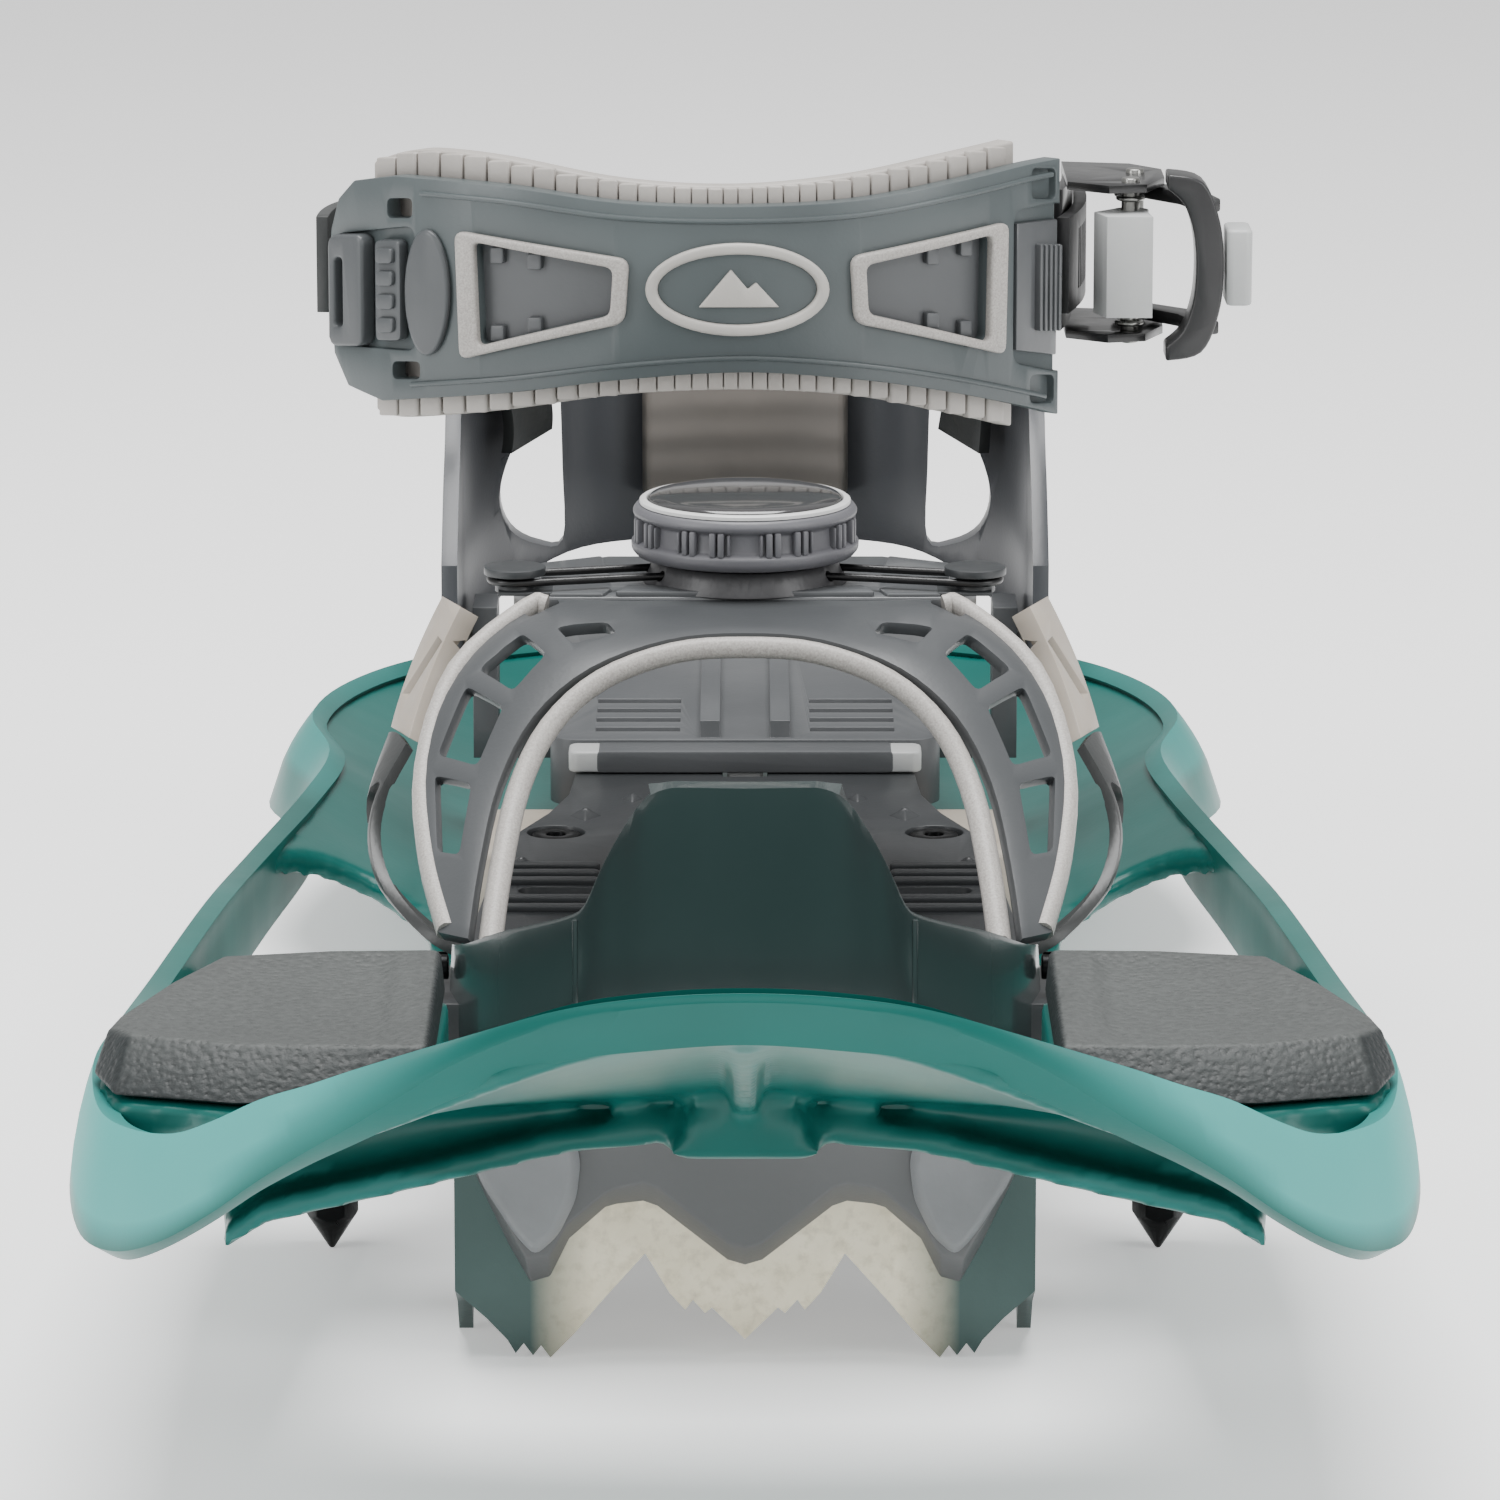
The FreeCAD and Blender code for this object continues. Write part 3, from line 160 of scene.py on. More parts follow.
floor_finish = Finish("floor_paper", Roughness=0.9, Emission_Color=(1.0, 1.0, 1.0, 1.0),
                      Emission_Strength=0.42)
paper = floor_finish.noise(3.0, 4.0)
floor_finish.feed("Base Color", floor_finish.mix(paper * 0.3, rgb(246, 246, 246), rgb(240, 240, 240)))
floor_finish.bump(floor_finish.noise(900.0, 2.0), 0.0001, 0.2)
floor_mesh = bpy.data.meshes.new("floor")
floor_mesh.from_pydata([(-9, -6, 0), (9, -6, 0), (9, 14, 0), (-9, 14, 0)], [], [(0, 1, 2, 3)])
floor_mesh.materials.append(floor_finish.material)
floor = placed("floor", floor_mesh)

world = bpy.data.worlds.new("studio")
world.use_nodes = True
world.node_tree.nodes["Background"].inputs[0].default_value = (1.0, 1.0, 1.0, 1.0)
world.node_tree.nodes["Background"].inputs[1].default_value = 0.6
scene.world = world


def soft_light(name, place, target, size, watts):
    """Square soft box aimed at a point."""
    data = bpy.data.lights.new(name, "AREA")
    data.shape = "RECTANGLE"
    data.size, data.size_y = size
    data.energy = watts
    lamp = placed(name, data)
    lamp.location = place
    aim = Vector(target) - Vector(place)
    lamp.rotation_euler = aim.to_track_quat("-Z", "Y").to_euler()


soft_light("top_box", (0.0, 0.1, 1.5), (0, 0, 0), (0.9, 0.9), 36.0)
soft_light("left_box", (-1.1, -0.7, 0.75), (0, 0, 0.08), (0.4, 1.0), 9.0)
soft_light("right_box", (1.1, -0.7, 0.75), (0, 0, 0.08), (0.4, 1.0), 9.0)
soft_light("front_box", (0.0, -1.7, 1.0), (0, -0.1, 0.08), (1.6, 0.5), 6.0)

# ---------------------------------------------------------------------------
# Deck moulding: one satin teal injection moulding with a turned-down rim that rises at the
# tip, a shovel, webs beside the crampon opening, a trough at the rear, ribs and stud keels.
# The walls are drawn one by one and then grown together into one skin with small fillets.
# ---------------------------------------------------------------------------
MM = 0.001


def unit(value):
    return min(1.0, max(0.0, value))


def blend(p, q, r, s, t):
    """Place between q and r, at share t, on the smooth curve through four points."""
    return 0.5 * (2 * q + (r - p) * t + (2 * p - 5 * q + 4 * r - s) * t * t
                  + (3 * q - p - 3 * r + s) * t ** 3)


def flow(points, steps):
    """Smooth curve through points, with steps places between each pair."""
    points = [Vector(p) for p in points]
    last = len(points) - 1
    out = []
    for i in range(last):
        four = (points[max(i - 1, 0)], points[i], points[i + 1], points[min(i + 2, last)])
        out += [blend(*four, k / steps) for k in range(steps)]
    return out + [points[-1]]


def flow_rows(rows, along, across):
    """Smooth grid through rows of points given in millimetres."""
    rows = [flow(row, across) for row in rows]
    columns = [flow(column, along) for column in zip(*rows)]
    return [list(row) for row in zip(*columns)]


def mirror_rows(rows):
    """A half that starts in the middle plane, completed to the left."""
    left = [[Vector((-p[0], p[1], p[2])) for p in row] for row in reversed(rows[1:])]
    return left + [[Vector(p) for p in row] for row in rows]


def new_piece(name, points, faces):
    """Closed mesh object from millimetre points."""
    mesh = bpy.data.meshes.new(name)
    mesh.from_pydata([Vector(p) * MM for p in points], [], faces)
    work = bmesh.new()
    work.from_mesh(mesh)
    bmesh.ops.remove_doubles(work, verts=work.verts, dist=1e-6)
    bmesh.ops.recalc_face_normals(work, faces=work.faces)
    work.to_mesh(mesh)
    work.free()
    return placed(name, mesh)


def grid_faces(rows, columns, start=0, closed=False):
    """Quads of a grid of points."""
    faces = []
    for i in range(rows if closed else rows - 1):
        for j in range(columns - 1):
            a = start + i * columns + j
            b = start + ((i + 1) % rows) * columns + j
            faces.append((a, b, b + 1, a + 1))
    return faces


def shell(name, rows, wall, inside, closed=False):
    """Curved wall: rows hold its outer face, and its thickness lies towards inside(point)."""
    n, m = len(rows), len(rows[0])
    outer, inner = [], []
    for i in range(n):
        for j in range(m):
            before = rows[(i - 1) % n if closed else max(i - 1, 0)][j]
            after = rows[(i + 1) % n if closed else min(i + 1, n - 1)][j]
            along = after - before
            across = rows[i][min(j + 1, m - 1)] - rows[i][max(j - 1, 0)]
            normal = along.cross(across).normalized()
            point = rows[i][j]
            if normal.dot(Vector(inside(point)) - point) < 0:
                normal = -normal
            outer.append(point)
            inner.append(point + normal * wall)
    faces = grid_faces(n, m, 0, closed) + [f[::-1] for f in grid_faces(n, m, n * m, closed)]
    for i in range(n if closed else n - 1):
        k = (i + 1) % n
        for j in (0, m - 1):
            faces.append((i * m + j, k * m + j, n * m + k * m + j, n * m + i * m + j))
    if not closed:
        for i in (0, n - 1):
            for j in range(m - 1):
                faces.append((i * m + j, i * m + j + 1, n * m + i * m + j + 1, n * m + i * m + j))
    return new_piece(name, outer + inner, faces)


def rounded_outline(points, radius, steps=4):
    """Outline with each corner turned into a short curve."""
    out = []
    count = len(points)
    for i in range(count):
        p, q, r = (Vector(points[k % count]) for k in (i - 1, i, i + 1))
        a = q + (p - q).normalized() * min(radius, (p - q).length * 0.45)
        b = q + (r - q).normalized() * min(radius, (r - q).length * 0.45)
        for k in range(steps + 1):
            t = k / steps
            out.append(a * (1 - t) ** 2 + q * 2 * t * (1 - t) + b * t * t)
    return out


def loft(name, first, second):
    """Closed solid between two rings with as many places."""
    n = len(first)
    faces = [tuple(range(n)), tuple(range(2 * n - 1, n - 1, -1))]
    faces += [(i, (i + 1) % n, n + (i + 1) % n, n + i) for i in range(n)]
    return new_piece(name, list(first) + list(second), faces)


def prism(name, outline, axis, low, high):
    """Straight bar with an outline across an axis: X takes (y, z), Y takes (x, z), Z takes (x, y)."""
    def ring(d):
        return [{"X": (d, p[0], p[1]), "Y": (p[0], d, p[1]), "Z": (p[0], p[1], d)}[axis] for p in outline]
    return loft(name, ring(low), ring(high))


def plate(name, points, radius, axis, low, high):
    """Straight bar with rounded corners."""
    return prism(name, rounded_outline(points, radius), axis, low, high)


def slab(name, across, up, radius, axis, low, high):
    """Bar with a rounded rectangle across an axis, from two ranges."""
    (u0, u1), (v0, v1) = across, up
    return plate(name, [(u0, v0), (u1, v0), (u1, v1), (u0, v1)], radius, axis, low, high)


def oval(cx, cy, rx, ry, steps=16):
    return [(cx + rx * math.cos(math.tau * k / steps), cy + ry * math.sin(math.tau * k / steps))
            for k in range(steps)]


def shaded(piece, sharp):
    """Smooth shading with crisp edges where faces turn by more than an angle."""
    piece.data.shade_smooth()
    piece.data.set_sharp_from_angle(angle=math.radians(sharp))


def discard(piece):
    """Removes an object and its mesh."""
    data = piece.data
    bpy.data.objects.remove(piece)
    bpy.data.meshes.remove(data)


def settle(piece, sharp=35.0):
    """Turns modifiers into mesh and sets smooth shading with crisp edges."""
    evaluated = piece.evaluated_get(bpy.context.evaluated_depsgraph_get())
    mesh = bpy.data.meshes.new_from_object(evaluated)
    old = piece.data
    piece.modifiers.clear()
    piece.data = mesh
    bpy.data.meshes.remove(old)
    shaded(piece, sharp)
    return piece


def round_edges(piece, width, segments=2, angle=35.0, sharp=35.0):
    """Bevels every edge turned by more than an angle."""
    bevel = piece.modifiers.new("edges", "BEVEL")
    bevel.width = width * MM
    bevel.segments = segments
    bevel.limit_method = "ANGLE"
    bevel.angle_limit = math.radians(angle)
    bevel.harden_normals = False
    return settle(piece, sharp)


def joined(name, parts):
    """One object from several."""
    work = bmesh.new()
    for part in parts:
        work.from_mesh(part.data)
        discard(part)
    mesh = bpy.data.meshes.new(name)
    work.to_mesh(mesh)
    work.free()
    return placed(name, mesh)


def mirror_copy(piece, name):
    """The same mesh on the other side of the middle plane."""
    work = bmesh.new()
    work.from_mesh(piece.data)
    bmesh.ops.transform(work, matrix=Matrix.Scale(-1, 4, (1, 0, 0)), verts=work.verts)
    bmesh.ops.reverse_faces(work, faces=work.faces)
    mesh = bpy.data.meshes.new(name)
    work.to_mesh(mesh)
    work.free()
    for material in piece.data.materials:
        mesh.materials.append(material)
    return placed(name, mesh)


def carve(piece, cutters):
    """Cuts closed cutters out of a piece and removes them."""
    for cutter in cutters:
        cut = piece.modifiers.new("cut", "BOOLEAN")
        cut.operation = "DIFFERENCE"
        cut.solver = "EXACT"
        cut.object = cutter
    settle(piece)
    for cutter in cutters:
        discard(cutter)
    return piece


def dress(piece, finish, body, *nodes, slot=None):
    """Gives a finished piece its material, its body and the nodes that it stands for."""
    piece.data.materials.clear()
    piece.data.materials.append(finish.material)
    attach(piece, body)
    if nodes:
        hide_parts(*nodes)
    if slot or nodes:
        slot or nodes[0]
    return piece


deck_low, deck_high = (Vector(corner) * 1000 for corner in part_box("deck_frame"))
tip, tail = deck_low.y, deck_high.y
opening_front, opening_half, web_rear, rear_front = -175.0, 62.0, -47.0, 36.0
rim_half = [
    [(0, tip + 0.8, 106.7), (0, tip + 0.2, 105.4), (0, tip + 3.5, 98)],
    [(14, tip + 1.1, 106), (14, tip + 0.5, 104.6), (14, tip + 4, 97)],
    [(27.4, tip + 2, 103.8), (27.4, tip + 1.5, 101.9), (27.5, tip + 5.5, 94.8)],
    [(42.4, tip + 5, 98.8), (42.4, tip + 4.2, 95.3), (42.6, tip + 8.5, 88.8)],
    [(57.7, tip + 12, 92.3), (57.7, tip + 10.5, 84.4), (58, tip + 15.5, 79.8)],
    [(65.5, tip + 17, 88.4), (65.6, tip + 14.8, 78.8), (65.8, tip + 20, 75)],
    [(73.5, tip + 23.5, 84.3), (73.6, tip + 20, 72.6), (73.8, tip + 25, 69.4)],
    [(81.6, tip + 30, 79), (81.8, tip + 26, 65.4), (81.9, tip + 31, 62.5)],
    [(88, tip + 37, 75.2), (90.3, tip + 33.5, 58.8), (89.5, tip + 38, 56.5)],
    [(95, tip + 46, 73.4), (98, tip + 43, 54.6), (96, tip + 47, 52)],
    [(100.4, tip + 56, 73.2), (104, tip + 53, 54.4), (101, tip + 56, 51)],
    [(103.4, tip + 73, 73.2), (107, tip + 69, 58), (103.6, tip + 71, 48)],
    [(104.6, -200, 72.8), (107.2, -200, 60), (104.6, -200, 46)],
    [(104.6, -150, 66), (106.2, -150, 54), (104.6, -150, 42)],
    [(104, -102, 60), (105, -102, 48), (104, -102, 38)],
    [(100, -25, 55), (100.5, -25, 46), (100, -25, 37)],
    [(96, 39, 49.5), (96.5, 39, 41), (97, 39, 33)],
    [(89, 100, 47.8), (91, 100, 39), (92, 100, 31)],
    [(86, 137, 48), (90, 137, 39), (93, 137, 30)],
    [(91.5, 172, 48.2), (98, 172, 38), (101, 172, 29)],
    [(86, 215, 46), (91, 216, 37), (94, 217, 28)],
    [(70, tail - 43, 44), (74, tail - 41, 36), (76, tail - 40, 28)],
    [(42, tail - 15, 42), (44, tail - 12.5, 35), (45, tail - 11, 29)],
    [(0, tail - 3, 40), (0, tail - 0.3, 34.5), (0, tail - 1, 29)],
]


def deck_inside(point):
    """Place in the deck's middle, level with a point."""
    return (0.0, max(-200.0, min(200.0, point.y)), point.z)


def closed_flow(rows, along, across, swell):
    """Smooth closed loop of stations, each with a slightly bulged face over a short lower edge."""
    full = []
    for row in rows:
        top, edge, under = (Vector(p) for p in row)
        out = (edge - Vector(deck_inside(edge))).normalized() * (edge - top).length * swell
        face = [top.lerp(edge, k / across) + out * (k / across) * (1 - k / across) for k in range(across)]
        full.append(face + [edge, edge.lerp(under, 0.5), under])
    n = len(full)
    loop = []
    for i in range(n):
        around = [full[(i + d) % n] for d in (-1, 0, 1, 2)]
        loop += [[blend(*four, k / along) for four in zip(*around)] for k in range(along)]
    return loop


teal = Finish("teal_moulding", IOR=1.46, Specular_IOR_Level=0.32)
matte_and_sheen_share = teal.node("ShaderNodeAttribute", {"attribute_name": "frost"}, (), output=2)
clouds = teal.noise(18.0, 3.0)
deep = teal.mix(clouds, rgb(0, 100, 94), rgb(0, 124, 117))
# Painted sheen: the lighter teal mixed in on the frosted faces stands for soft reflections of the studio
# light on faces turned outward or upward. The same share also makes them rougher and grainier, like the real
# frosted finish.
teal.feed("Base Color", teal.mix((matte_and_sheen_share * 0.8 + clouds * 0.12 - 0.06).clamped(), deep, rgb(104, 186, 182)))
teal.feed("Roughness", (0.27 + matte_and_sheen_share * 0.2 + teal.noise(60.0, 4.0) * 0.1).clamped())
teal.bump(teal.noise(900.0, 2.0) + matte_and_sheen_share * teal.noise(2600.0, 1.0), 0.00006, 0.25)

# The rim is closed in plan. Each station has four places on its outer face, then its edge and
# two places under it. The frost lies on the upper part of the face, at the tip and the tail; it is
# partly a real rougher frosted finish and partly painted sheen, a lighter colour on the faces
# that turn outward or upward to the light.
face_places = 4
rim_rows = closed_flow(mirror_rows(rim_half)[:-1], 6, face_places, 0.16)
rim = shell("deck_rim", rim_rows, 3.8, deck_inside, closed=True)
round_edges(rim, 0.9, 3, 40.0, 60.0)
rim_matte_and_sheen = rim.data.attributes.new("frost", "FLOAT", "POINT")
edge_points = [row[face_places] for row in rim_rows]
for vertex, item in zip(rim.data.vertices, rim_matte_and_sheen.data):
    place = vertex.co / MM
    nearest = min(edge_points, key=lambda p: (p.x - place.x) ** 2 + (p.y - place.y) ** 2)
    outward = vertex.normal.dot((place - Vector(deck_inside(place))).normalized())
    rise = (place.z - nearest.z) / (1.5 + 11 * unit((88 - abs(place.x)) / 30))
    spread = (abs(place.x) - 34.0) / 24.0 if place.y < -230 else 1.0
    if place.y >= 0:
        spread = min((place.y - 90) / 40.0, (250 - place.y) / 30.0, 0.5)
    elif place.y > -215:
        spread = (-170 - place.y) / 45.0
    spread = unit(spread)
    # Painted sheen: faces that turn outward, and faces that look up, get a higher share and so a lighter
    # colour.
    value = unit(outward * 1.8 - 0.1) * unit(rise) * spread
    item.value = max(value, 0.5 * max(0.0, vertex.normal.z) * spread)
dress(rim, teal, "deck", slot="deck_frame")


def skin(name, stations, wall):
    """Plate from stations (y, [(x, z), ...]) of its right half."""
    half = [[(x, y, z) for x, z in row] for y, row in stations]
    rows = []
    for row in flow_rows(half, 4, 4):
        rows.append([Vector((-p.x, p.y, p.z)) for p in reversed(row[1:])] + row)
    return shell(name, rows, wall, lambda p: (p.x, p.y, -500))


shovel = skin("shovel", [
    (tip + 6, [(0, 103), (20, 101), (37, 95.5)]),
    (tip + 27, [(0, 96), (38, 89), (75, 76)]),
    (tip + 55, [(0, 87), (49, 78), (97, 66)]),
    (-205, [(0, 74), (51, 69), (102, 64)]),
    (-176, [(0, 64), (51, 62), (103, 60)]),
    (-110, [(0, 50), (51, 50), (102, 53)]),
    (web_rear, [(0, 45), (50, 45), (98.5, 48)]),
], 4.5)
trough = skin("trough", [
    (rear_front, [(0, 32), (56, 32), (95, 47)]),
    (95, [(0, 30), (52, 30), (88.5, 46)]),
    (137, [(0, 30), (50, 30), (86, 46)]),
    (172, [(0, 30), (54, 30), (92, 46)]),
    (215, [(0, 30), (50, 30), (86, 44)]),
    (tail - 43, [(0, 31), (40, 31), (70, 42)]),
    (tail - 14, [(0, 33), (20, 34), (40, 40)]),
    (tail - 4, [(0, 35), (9, 35.5), (17, 37)]),
], 4.5)
carve(shovel, [slab("opening", (-opening_half, opening_half), (opening_front, 0), 8, "Z", 0, 150)])
carve(trough, [prism("arch", oval(side * 77.5, rear_front - 3, 16.5, 34, 36), "Z", 0, 100)
               for side in (-1, 1)])
cross_low = [(-86, 36), (-79, 40.8), (-57, 46), (-30, 52.7), (0, 56), (30, 52.7), (57, 46), (79, 40.8),
             (86, 36)]
cross_top = [(86, 58), (56, 60), (-56, 60), (-86, 58)]
cross_edge = [(x * 0.99, z + 4.6) for x, z in reversed(cross_low)]
spine_outline = [(tip + 14, 98), (tip + 14, 94), (opening_front - 6, 55), (opening_front - 6, 60)]
ribs = [prism("cross", cross_low + cross_top, "Y", opening_front - 9, opening_front - 1),
        prism("cross_lip", cross_low + cross_edge, "Y", opening_front - 16, opening_front - 1),
        prism("spine", spine_outline, "X", -2, 2),
        slab("boss_bar", (-10, 10), (58, 61.5), 1.2, "Y", -197, -180),
        slab("boss_foot", (-12, 12), (53, 56.5), 1.2, "Y", -196, -180),
        prism("boss_stem", [(-3.5, 54), (3.5, 54), (3, 62), (-3, 62)], "Y", -195, -180),
        prism("rear_cross", [(-60, 18), (60, 18), (60, 31), (-60, 31)], "Y", rear_front, rear_front + 6)]
pad_outline = [(49, -238), (80, -240), (100, -234), (103.5, -221), (88, -172), (49, -169)]
seat_height = 74.2
keel_foot = 11.2
first_stud, last_stud = 109.0, 224.0
axle_y, axle_z, axle_bore = -95.0, 40.0, 4.15
keel_outline = [(opening_front, 52), (opening_front, 43), (-100, 24), (-69, keel_foot), (-56, keel_foot),
                (web_rear, 43)]
lug_outline = [(-107, 48), (-107, 30), (-100, 26.3), (-90, 26.3), (-83, 30), (-83, 48)]
rear_outline = [(first_stud - 17, 28), (first_stud - 13, keel_foot), (first_stud + 13, keel_foot),
                (first_stud + 20, 19), (last_stud - 20, 19), (last_stud - 13, keel_foot),
                (last_stud + 11, keel_foot), (last_stud + 16, 28)]
for side in (-1, 1):
    for name, outline, radius, start, end in (("keel", keel_outline, 2, 4, 22),
                                              ("lug", lug_outline, 4, 0.1, 10)):
        x0, x1 = sorted((side * (opening_half + start), side * (opening_half + end)))
        ribs.append(plate(name, outline, radius, "X", x0, x1))
    tops, feet = [], []
    for x, y in pad_outline:
        back_share = (y + 240) / 64
        inner, outer = 78 - 16 * back_share, 65.5 - 5.5 * back_share
        low = inner + (min(x, 98) - 49) / 49 * (outer - inner) - 3.4
        tops.append((side * x, y, seat_height - 0.4))
        feet.append((side * min(x, 99), y, min(low, seat_height - 1.2)))
    ribs.append(loft("seat", tops, feet))
    ribs.append(plate("rear_keel", rear_outline, 3, "X", side * 48 - 8, side * 48 + 8))
deck = joined("deck_moulding", [shovel, trough] + ribs)
grow = deck.modifiers.new("grow", "REMESH")
grow.mode = "VOXEL"
grow.voxel_size = 0.0017
soften = deck.modifiers.new("soften", "SMOOTH")
soften.factor = 0.5
soften.iterations = 4
settle(deck, 60.0)
room = [prism("room", [(side * x, y) for x, y in pad_outline], "Z", seat_height, 120) for side in (-1, 1)]
bore = prism("bore", oval(axle_y, axle_z, axle_bore, axle_bore), "X", -80, 80)
carve(deck, room + [bore])
shaded(deck, 50.0)

# Painted sheen: low faces at the front that look forward get a little of the lighter teal too.
frost = deck.data.attributes.new("frost", "FLOAT", "POINT")
for vertex, item in zip(deck.data.vertices, frost.data):
    item.value = 0.3 if vertex.co.z < 0.05 and vertex.co.y < -0.165 and vertex.normal.y < -0.7 else 0.0
dress(deck, teal, "deck", "deck_frame")

# ---------------------------------------------------------------------------
# Shock pads: two soft grained blocks screwed on the shovel, with a raised inner ridge, a
# long front face and rounded, slightly polished edges.
# ---------------------------------------------------------------------------
pad_base = seat_height + 0.3


def shock_pad(name, side):
    """Faceted block with a low top that slopes to the front edge and a ridge beside the boot."""
    plan = [(49.5, -237.5), (65, -239), (80, -239.5), (99.5, -233.5), (103.6, -221), (102.5, -212),
            (95.5, -192), (87.5, -172.5), (68, -170.5), (49.5, -169.5)]
    brow = [(49.8, -230.5), (65, -230.5), (80, -229.5), (97.3, -223), (101.5, -214), (100.5, -207),
            (93.5, -189), (86, -175), (68, -172), (50.2, -171)]
    brow_tops = [82.3, 82.2, 82.1, 82.0, 80.5, 80.4, 81.5, 82.5, 82.7, 82.7]
    inset = [(56, -227), (66, -227), (80, -226), (94, -220), (97, -213), (95.5, -206), (89.5, -189),
             (83, -177), (68, -174.5), (57, -173.5)]
    inner_tops = [81.2, 81.2, 81.2, 81.3, 81.5, 81.8, 82.3, 82.5, 82.5, 82.2]
    core = [(58.5, -222), (68, -222), (80, -221), (90, -216), (91.5, -210), (90, -203), (84, -190),
            (78.5, -181), (68, -178), (59, -177)]
    core_tops = [80.4, 80.4, 80.4, 80.6, 81.0, 81.2, 81.6, 81.8, 81.7, 81.2]
    n = len(plan)
    rings = [[(x * side, y, pad_base) for x, y in plan]]
    for ring, heights in ((brow, brow_tops), (inset, inner_tops), (core, core_tops)):
        rings.append([(x * side, y, z) for (x, y), z in zip(ring, heights)])
    points = [p for ring in rings for p in ring]
    faces = [tuple(range(n)), tuple(range(3 * n, 4 * n))]
    for k in range(3):
        low, high = k * n, (k + 1) * n
        faces += [(low + i, low + (i + 1) % n, high + (i + 1) % n, high + i) for i in range(n)]
    piece = round_edges(new_piece(name, points, faces), 1.1, 3, 20.0, 50.0)
    # Painted light and shade: faces that look up get the lighter copy of the grain, and steep faces such as
    # the front face get the darker copy.
    tone = piece.data.attributes.new("tone", "FLOAT", "POINT")
    for vertex, item in zip(piece.data.vertices, tone.data):
        item.value = unit((vertex.normal.z - 0.74) * 6.0)
    return piece


grain = Finish("grained_rubber", Specular_IOR_Level=0.4)
wrinkles = grain.cells(900.0)
fine = grain.noise(1400.0, 3.0)
shade = grain.noise(25.0, 3.0)
painted_light_share = grain.node("ShaderNodeAttribute", {"attribute_name": "tone"}, (), output=2)
mottle = (wrinkles * 0.6 + shade * 0.4).clamped()
# Lit and shaded copies of one grain: the darker pair is painted shade on the sides and the front face, and
# the lighter pair is painted light on the top.
grain.feed("Base Color", grain.mix(painted_light_share, grain.mix(mottle, rgb(34, 40, 41), rgb(54, 62, 63)),
                                   grain.mix(mottle, rgb(76, 79, 78), rgb(106, 109, 108))))
grain.feed("Roughness", (0.48 + wrinkles * 0.2).clamped())
grain.bump(wrinkles + fine * 0.5, 0.00035, 0.8)
for label, side in (("left", -1), ("right", 1)):
    dress(shock_pad("shock_pad_block_" + label, side), grain, "deck", "shock_pad_" + label)

# ---------------------------------------------------------------------------
# Small fixed parts of the deck: beige elastomer heel rests, blackened steel studs with
# their zinc screws, and the ground steel axle with its push-on clip.
# ---------------------------------------------------------------------------


def tidied(name, body, finish, nodes, width=0.4, angle=30.0, segments=2):
    """Copy of CAD nodes with clean faces and rounded edges, shown in their place."""
    work = bmesh.new()
    for node in nodes:
        work.from_mesh(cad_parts[node].data)
    bmesh.ops.remove_doubles(work, verts=work.verts, dist=2e-6)
    bmesh.ops.dissolve_limit(work, angle_limit=math.radians(1.0), verts=work.verts, edges=work.edges)
    bmesh.ops.recalc_face_normals(work, faces=work.faces)
    mesh = bpy.data.meshes.new(name)
    work.to_mesh(mesh)
    work.free()
    piece = placed(name, mesh)
    if width:
        round_edges(piece, width, segments, angle, 40.0)
    else:
        settle(piece, 40.0)
    return dress(piece, finish, body, *nodes)


def plain(name, dark, light, rough, scale=40.0, grain_scale=0.0, grain_depth=0.0001, **constants):
    """Moulded or turned material: two close shades, uneven roughness and a fine grain."""
    finish = Finish(name, **constants)
    cloud = finish.noise(scale, 4.0)
    finish.feed("Base Color", finish.mix(cloud, rgb(*dark), rgb(*light)))
    finish.feed("Roughness", (rough + finish.noise(scale * 3, 3.0) * 0.12 - 0.06).clamped())
    if grain_scale:
        finish.bump(finish.noise(grain_scale, 2.0), grain_depth, 0.5)
    return finish


beige_rubber = plain("beige_rubber", (168, 160, 148), (196, 190, 180), 0.6, 60.0, 900.0)
black_steel = plain("black_steel", (26, 27, 28), (48, 49, 50), 0.35, 120.0, 700.0, Metallic=0.9)
zinc = plain("zinc", (150, 150, 148), (190, 190, 186), 0.3, 200.0, 900.0, 0.00005, Metallic=1.0)
tidied("heel_rests", "deck", beige_rubber, ["heel_rest_left", "heel_rest_right"], 1.6)
tidied("stud_cones", "deck", black_steel, ["studs"], 0.25, 20.0)
tidied("stud_screw_heads", "deck", zinc, ["stud_screws"], 0.2)
tidied("axle", "deck", zinc, ["pivot_axle"], 0.4)
tidied("axle_ring", "deck", black_steel, ["axle_clip"], 0.2)

# ---------------------------------------------------------------------------
# Toe: a glossy dark bumper with a flat raised middle, the sole plate with faceted grip
# points, torx screws in round recesses, and thrust washers beside the lugs.
# ---------------------------------------------------------------------------
gloss = plain("gloss_moulding", (58, 70, 70), (80, 90, 90), 0.22, 14.0, 500.0, 0.00004, Coat_Weight=0.25)
moulding = plain("dark_moulding", (62, 64, 66), (80, 83, 85), 0.4, 30.0, 1500.0, 0.00006)
washer = plain("washer_nylon", (44, 46, 46), (58, 60, 60), 0.5, 60.0, 800.0)
tidied("thrust_washers", "deck", washer, ["axle_washers"], 0.3)
guard_half = [
    (0, -139.7, 102.6), (9, -139.6, 102.7), (13.2, -139.5, 102.5), (17.2, -139.1, 100.4),
    (21.1, -138.3, 94.6), (24.5, -137.7, 88), (27.3, -136.6, 81.6), (30, -134.9, 79.4),
    (35, -131.2, 77.2), (42, -124.6, 74),
    (48.3, -112, 68.8), (51.3, -98.5, 65.3),
]
guard_rows = []
guard_foot = 47.3
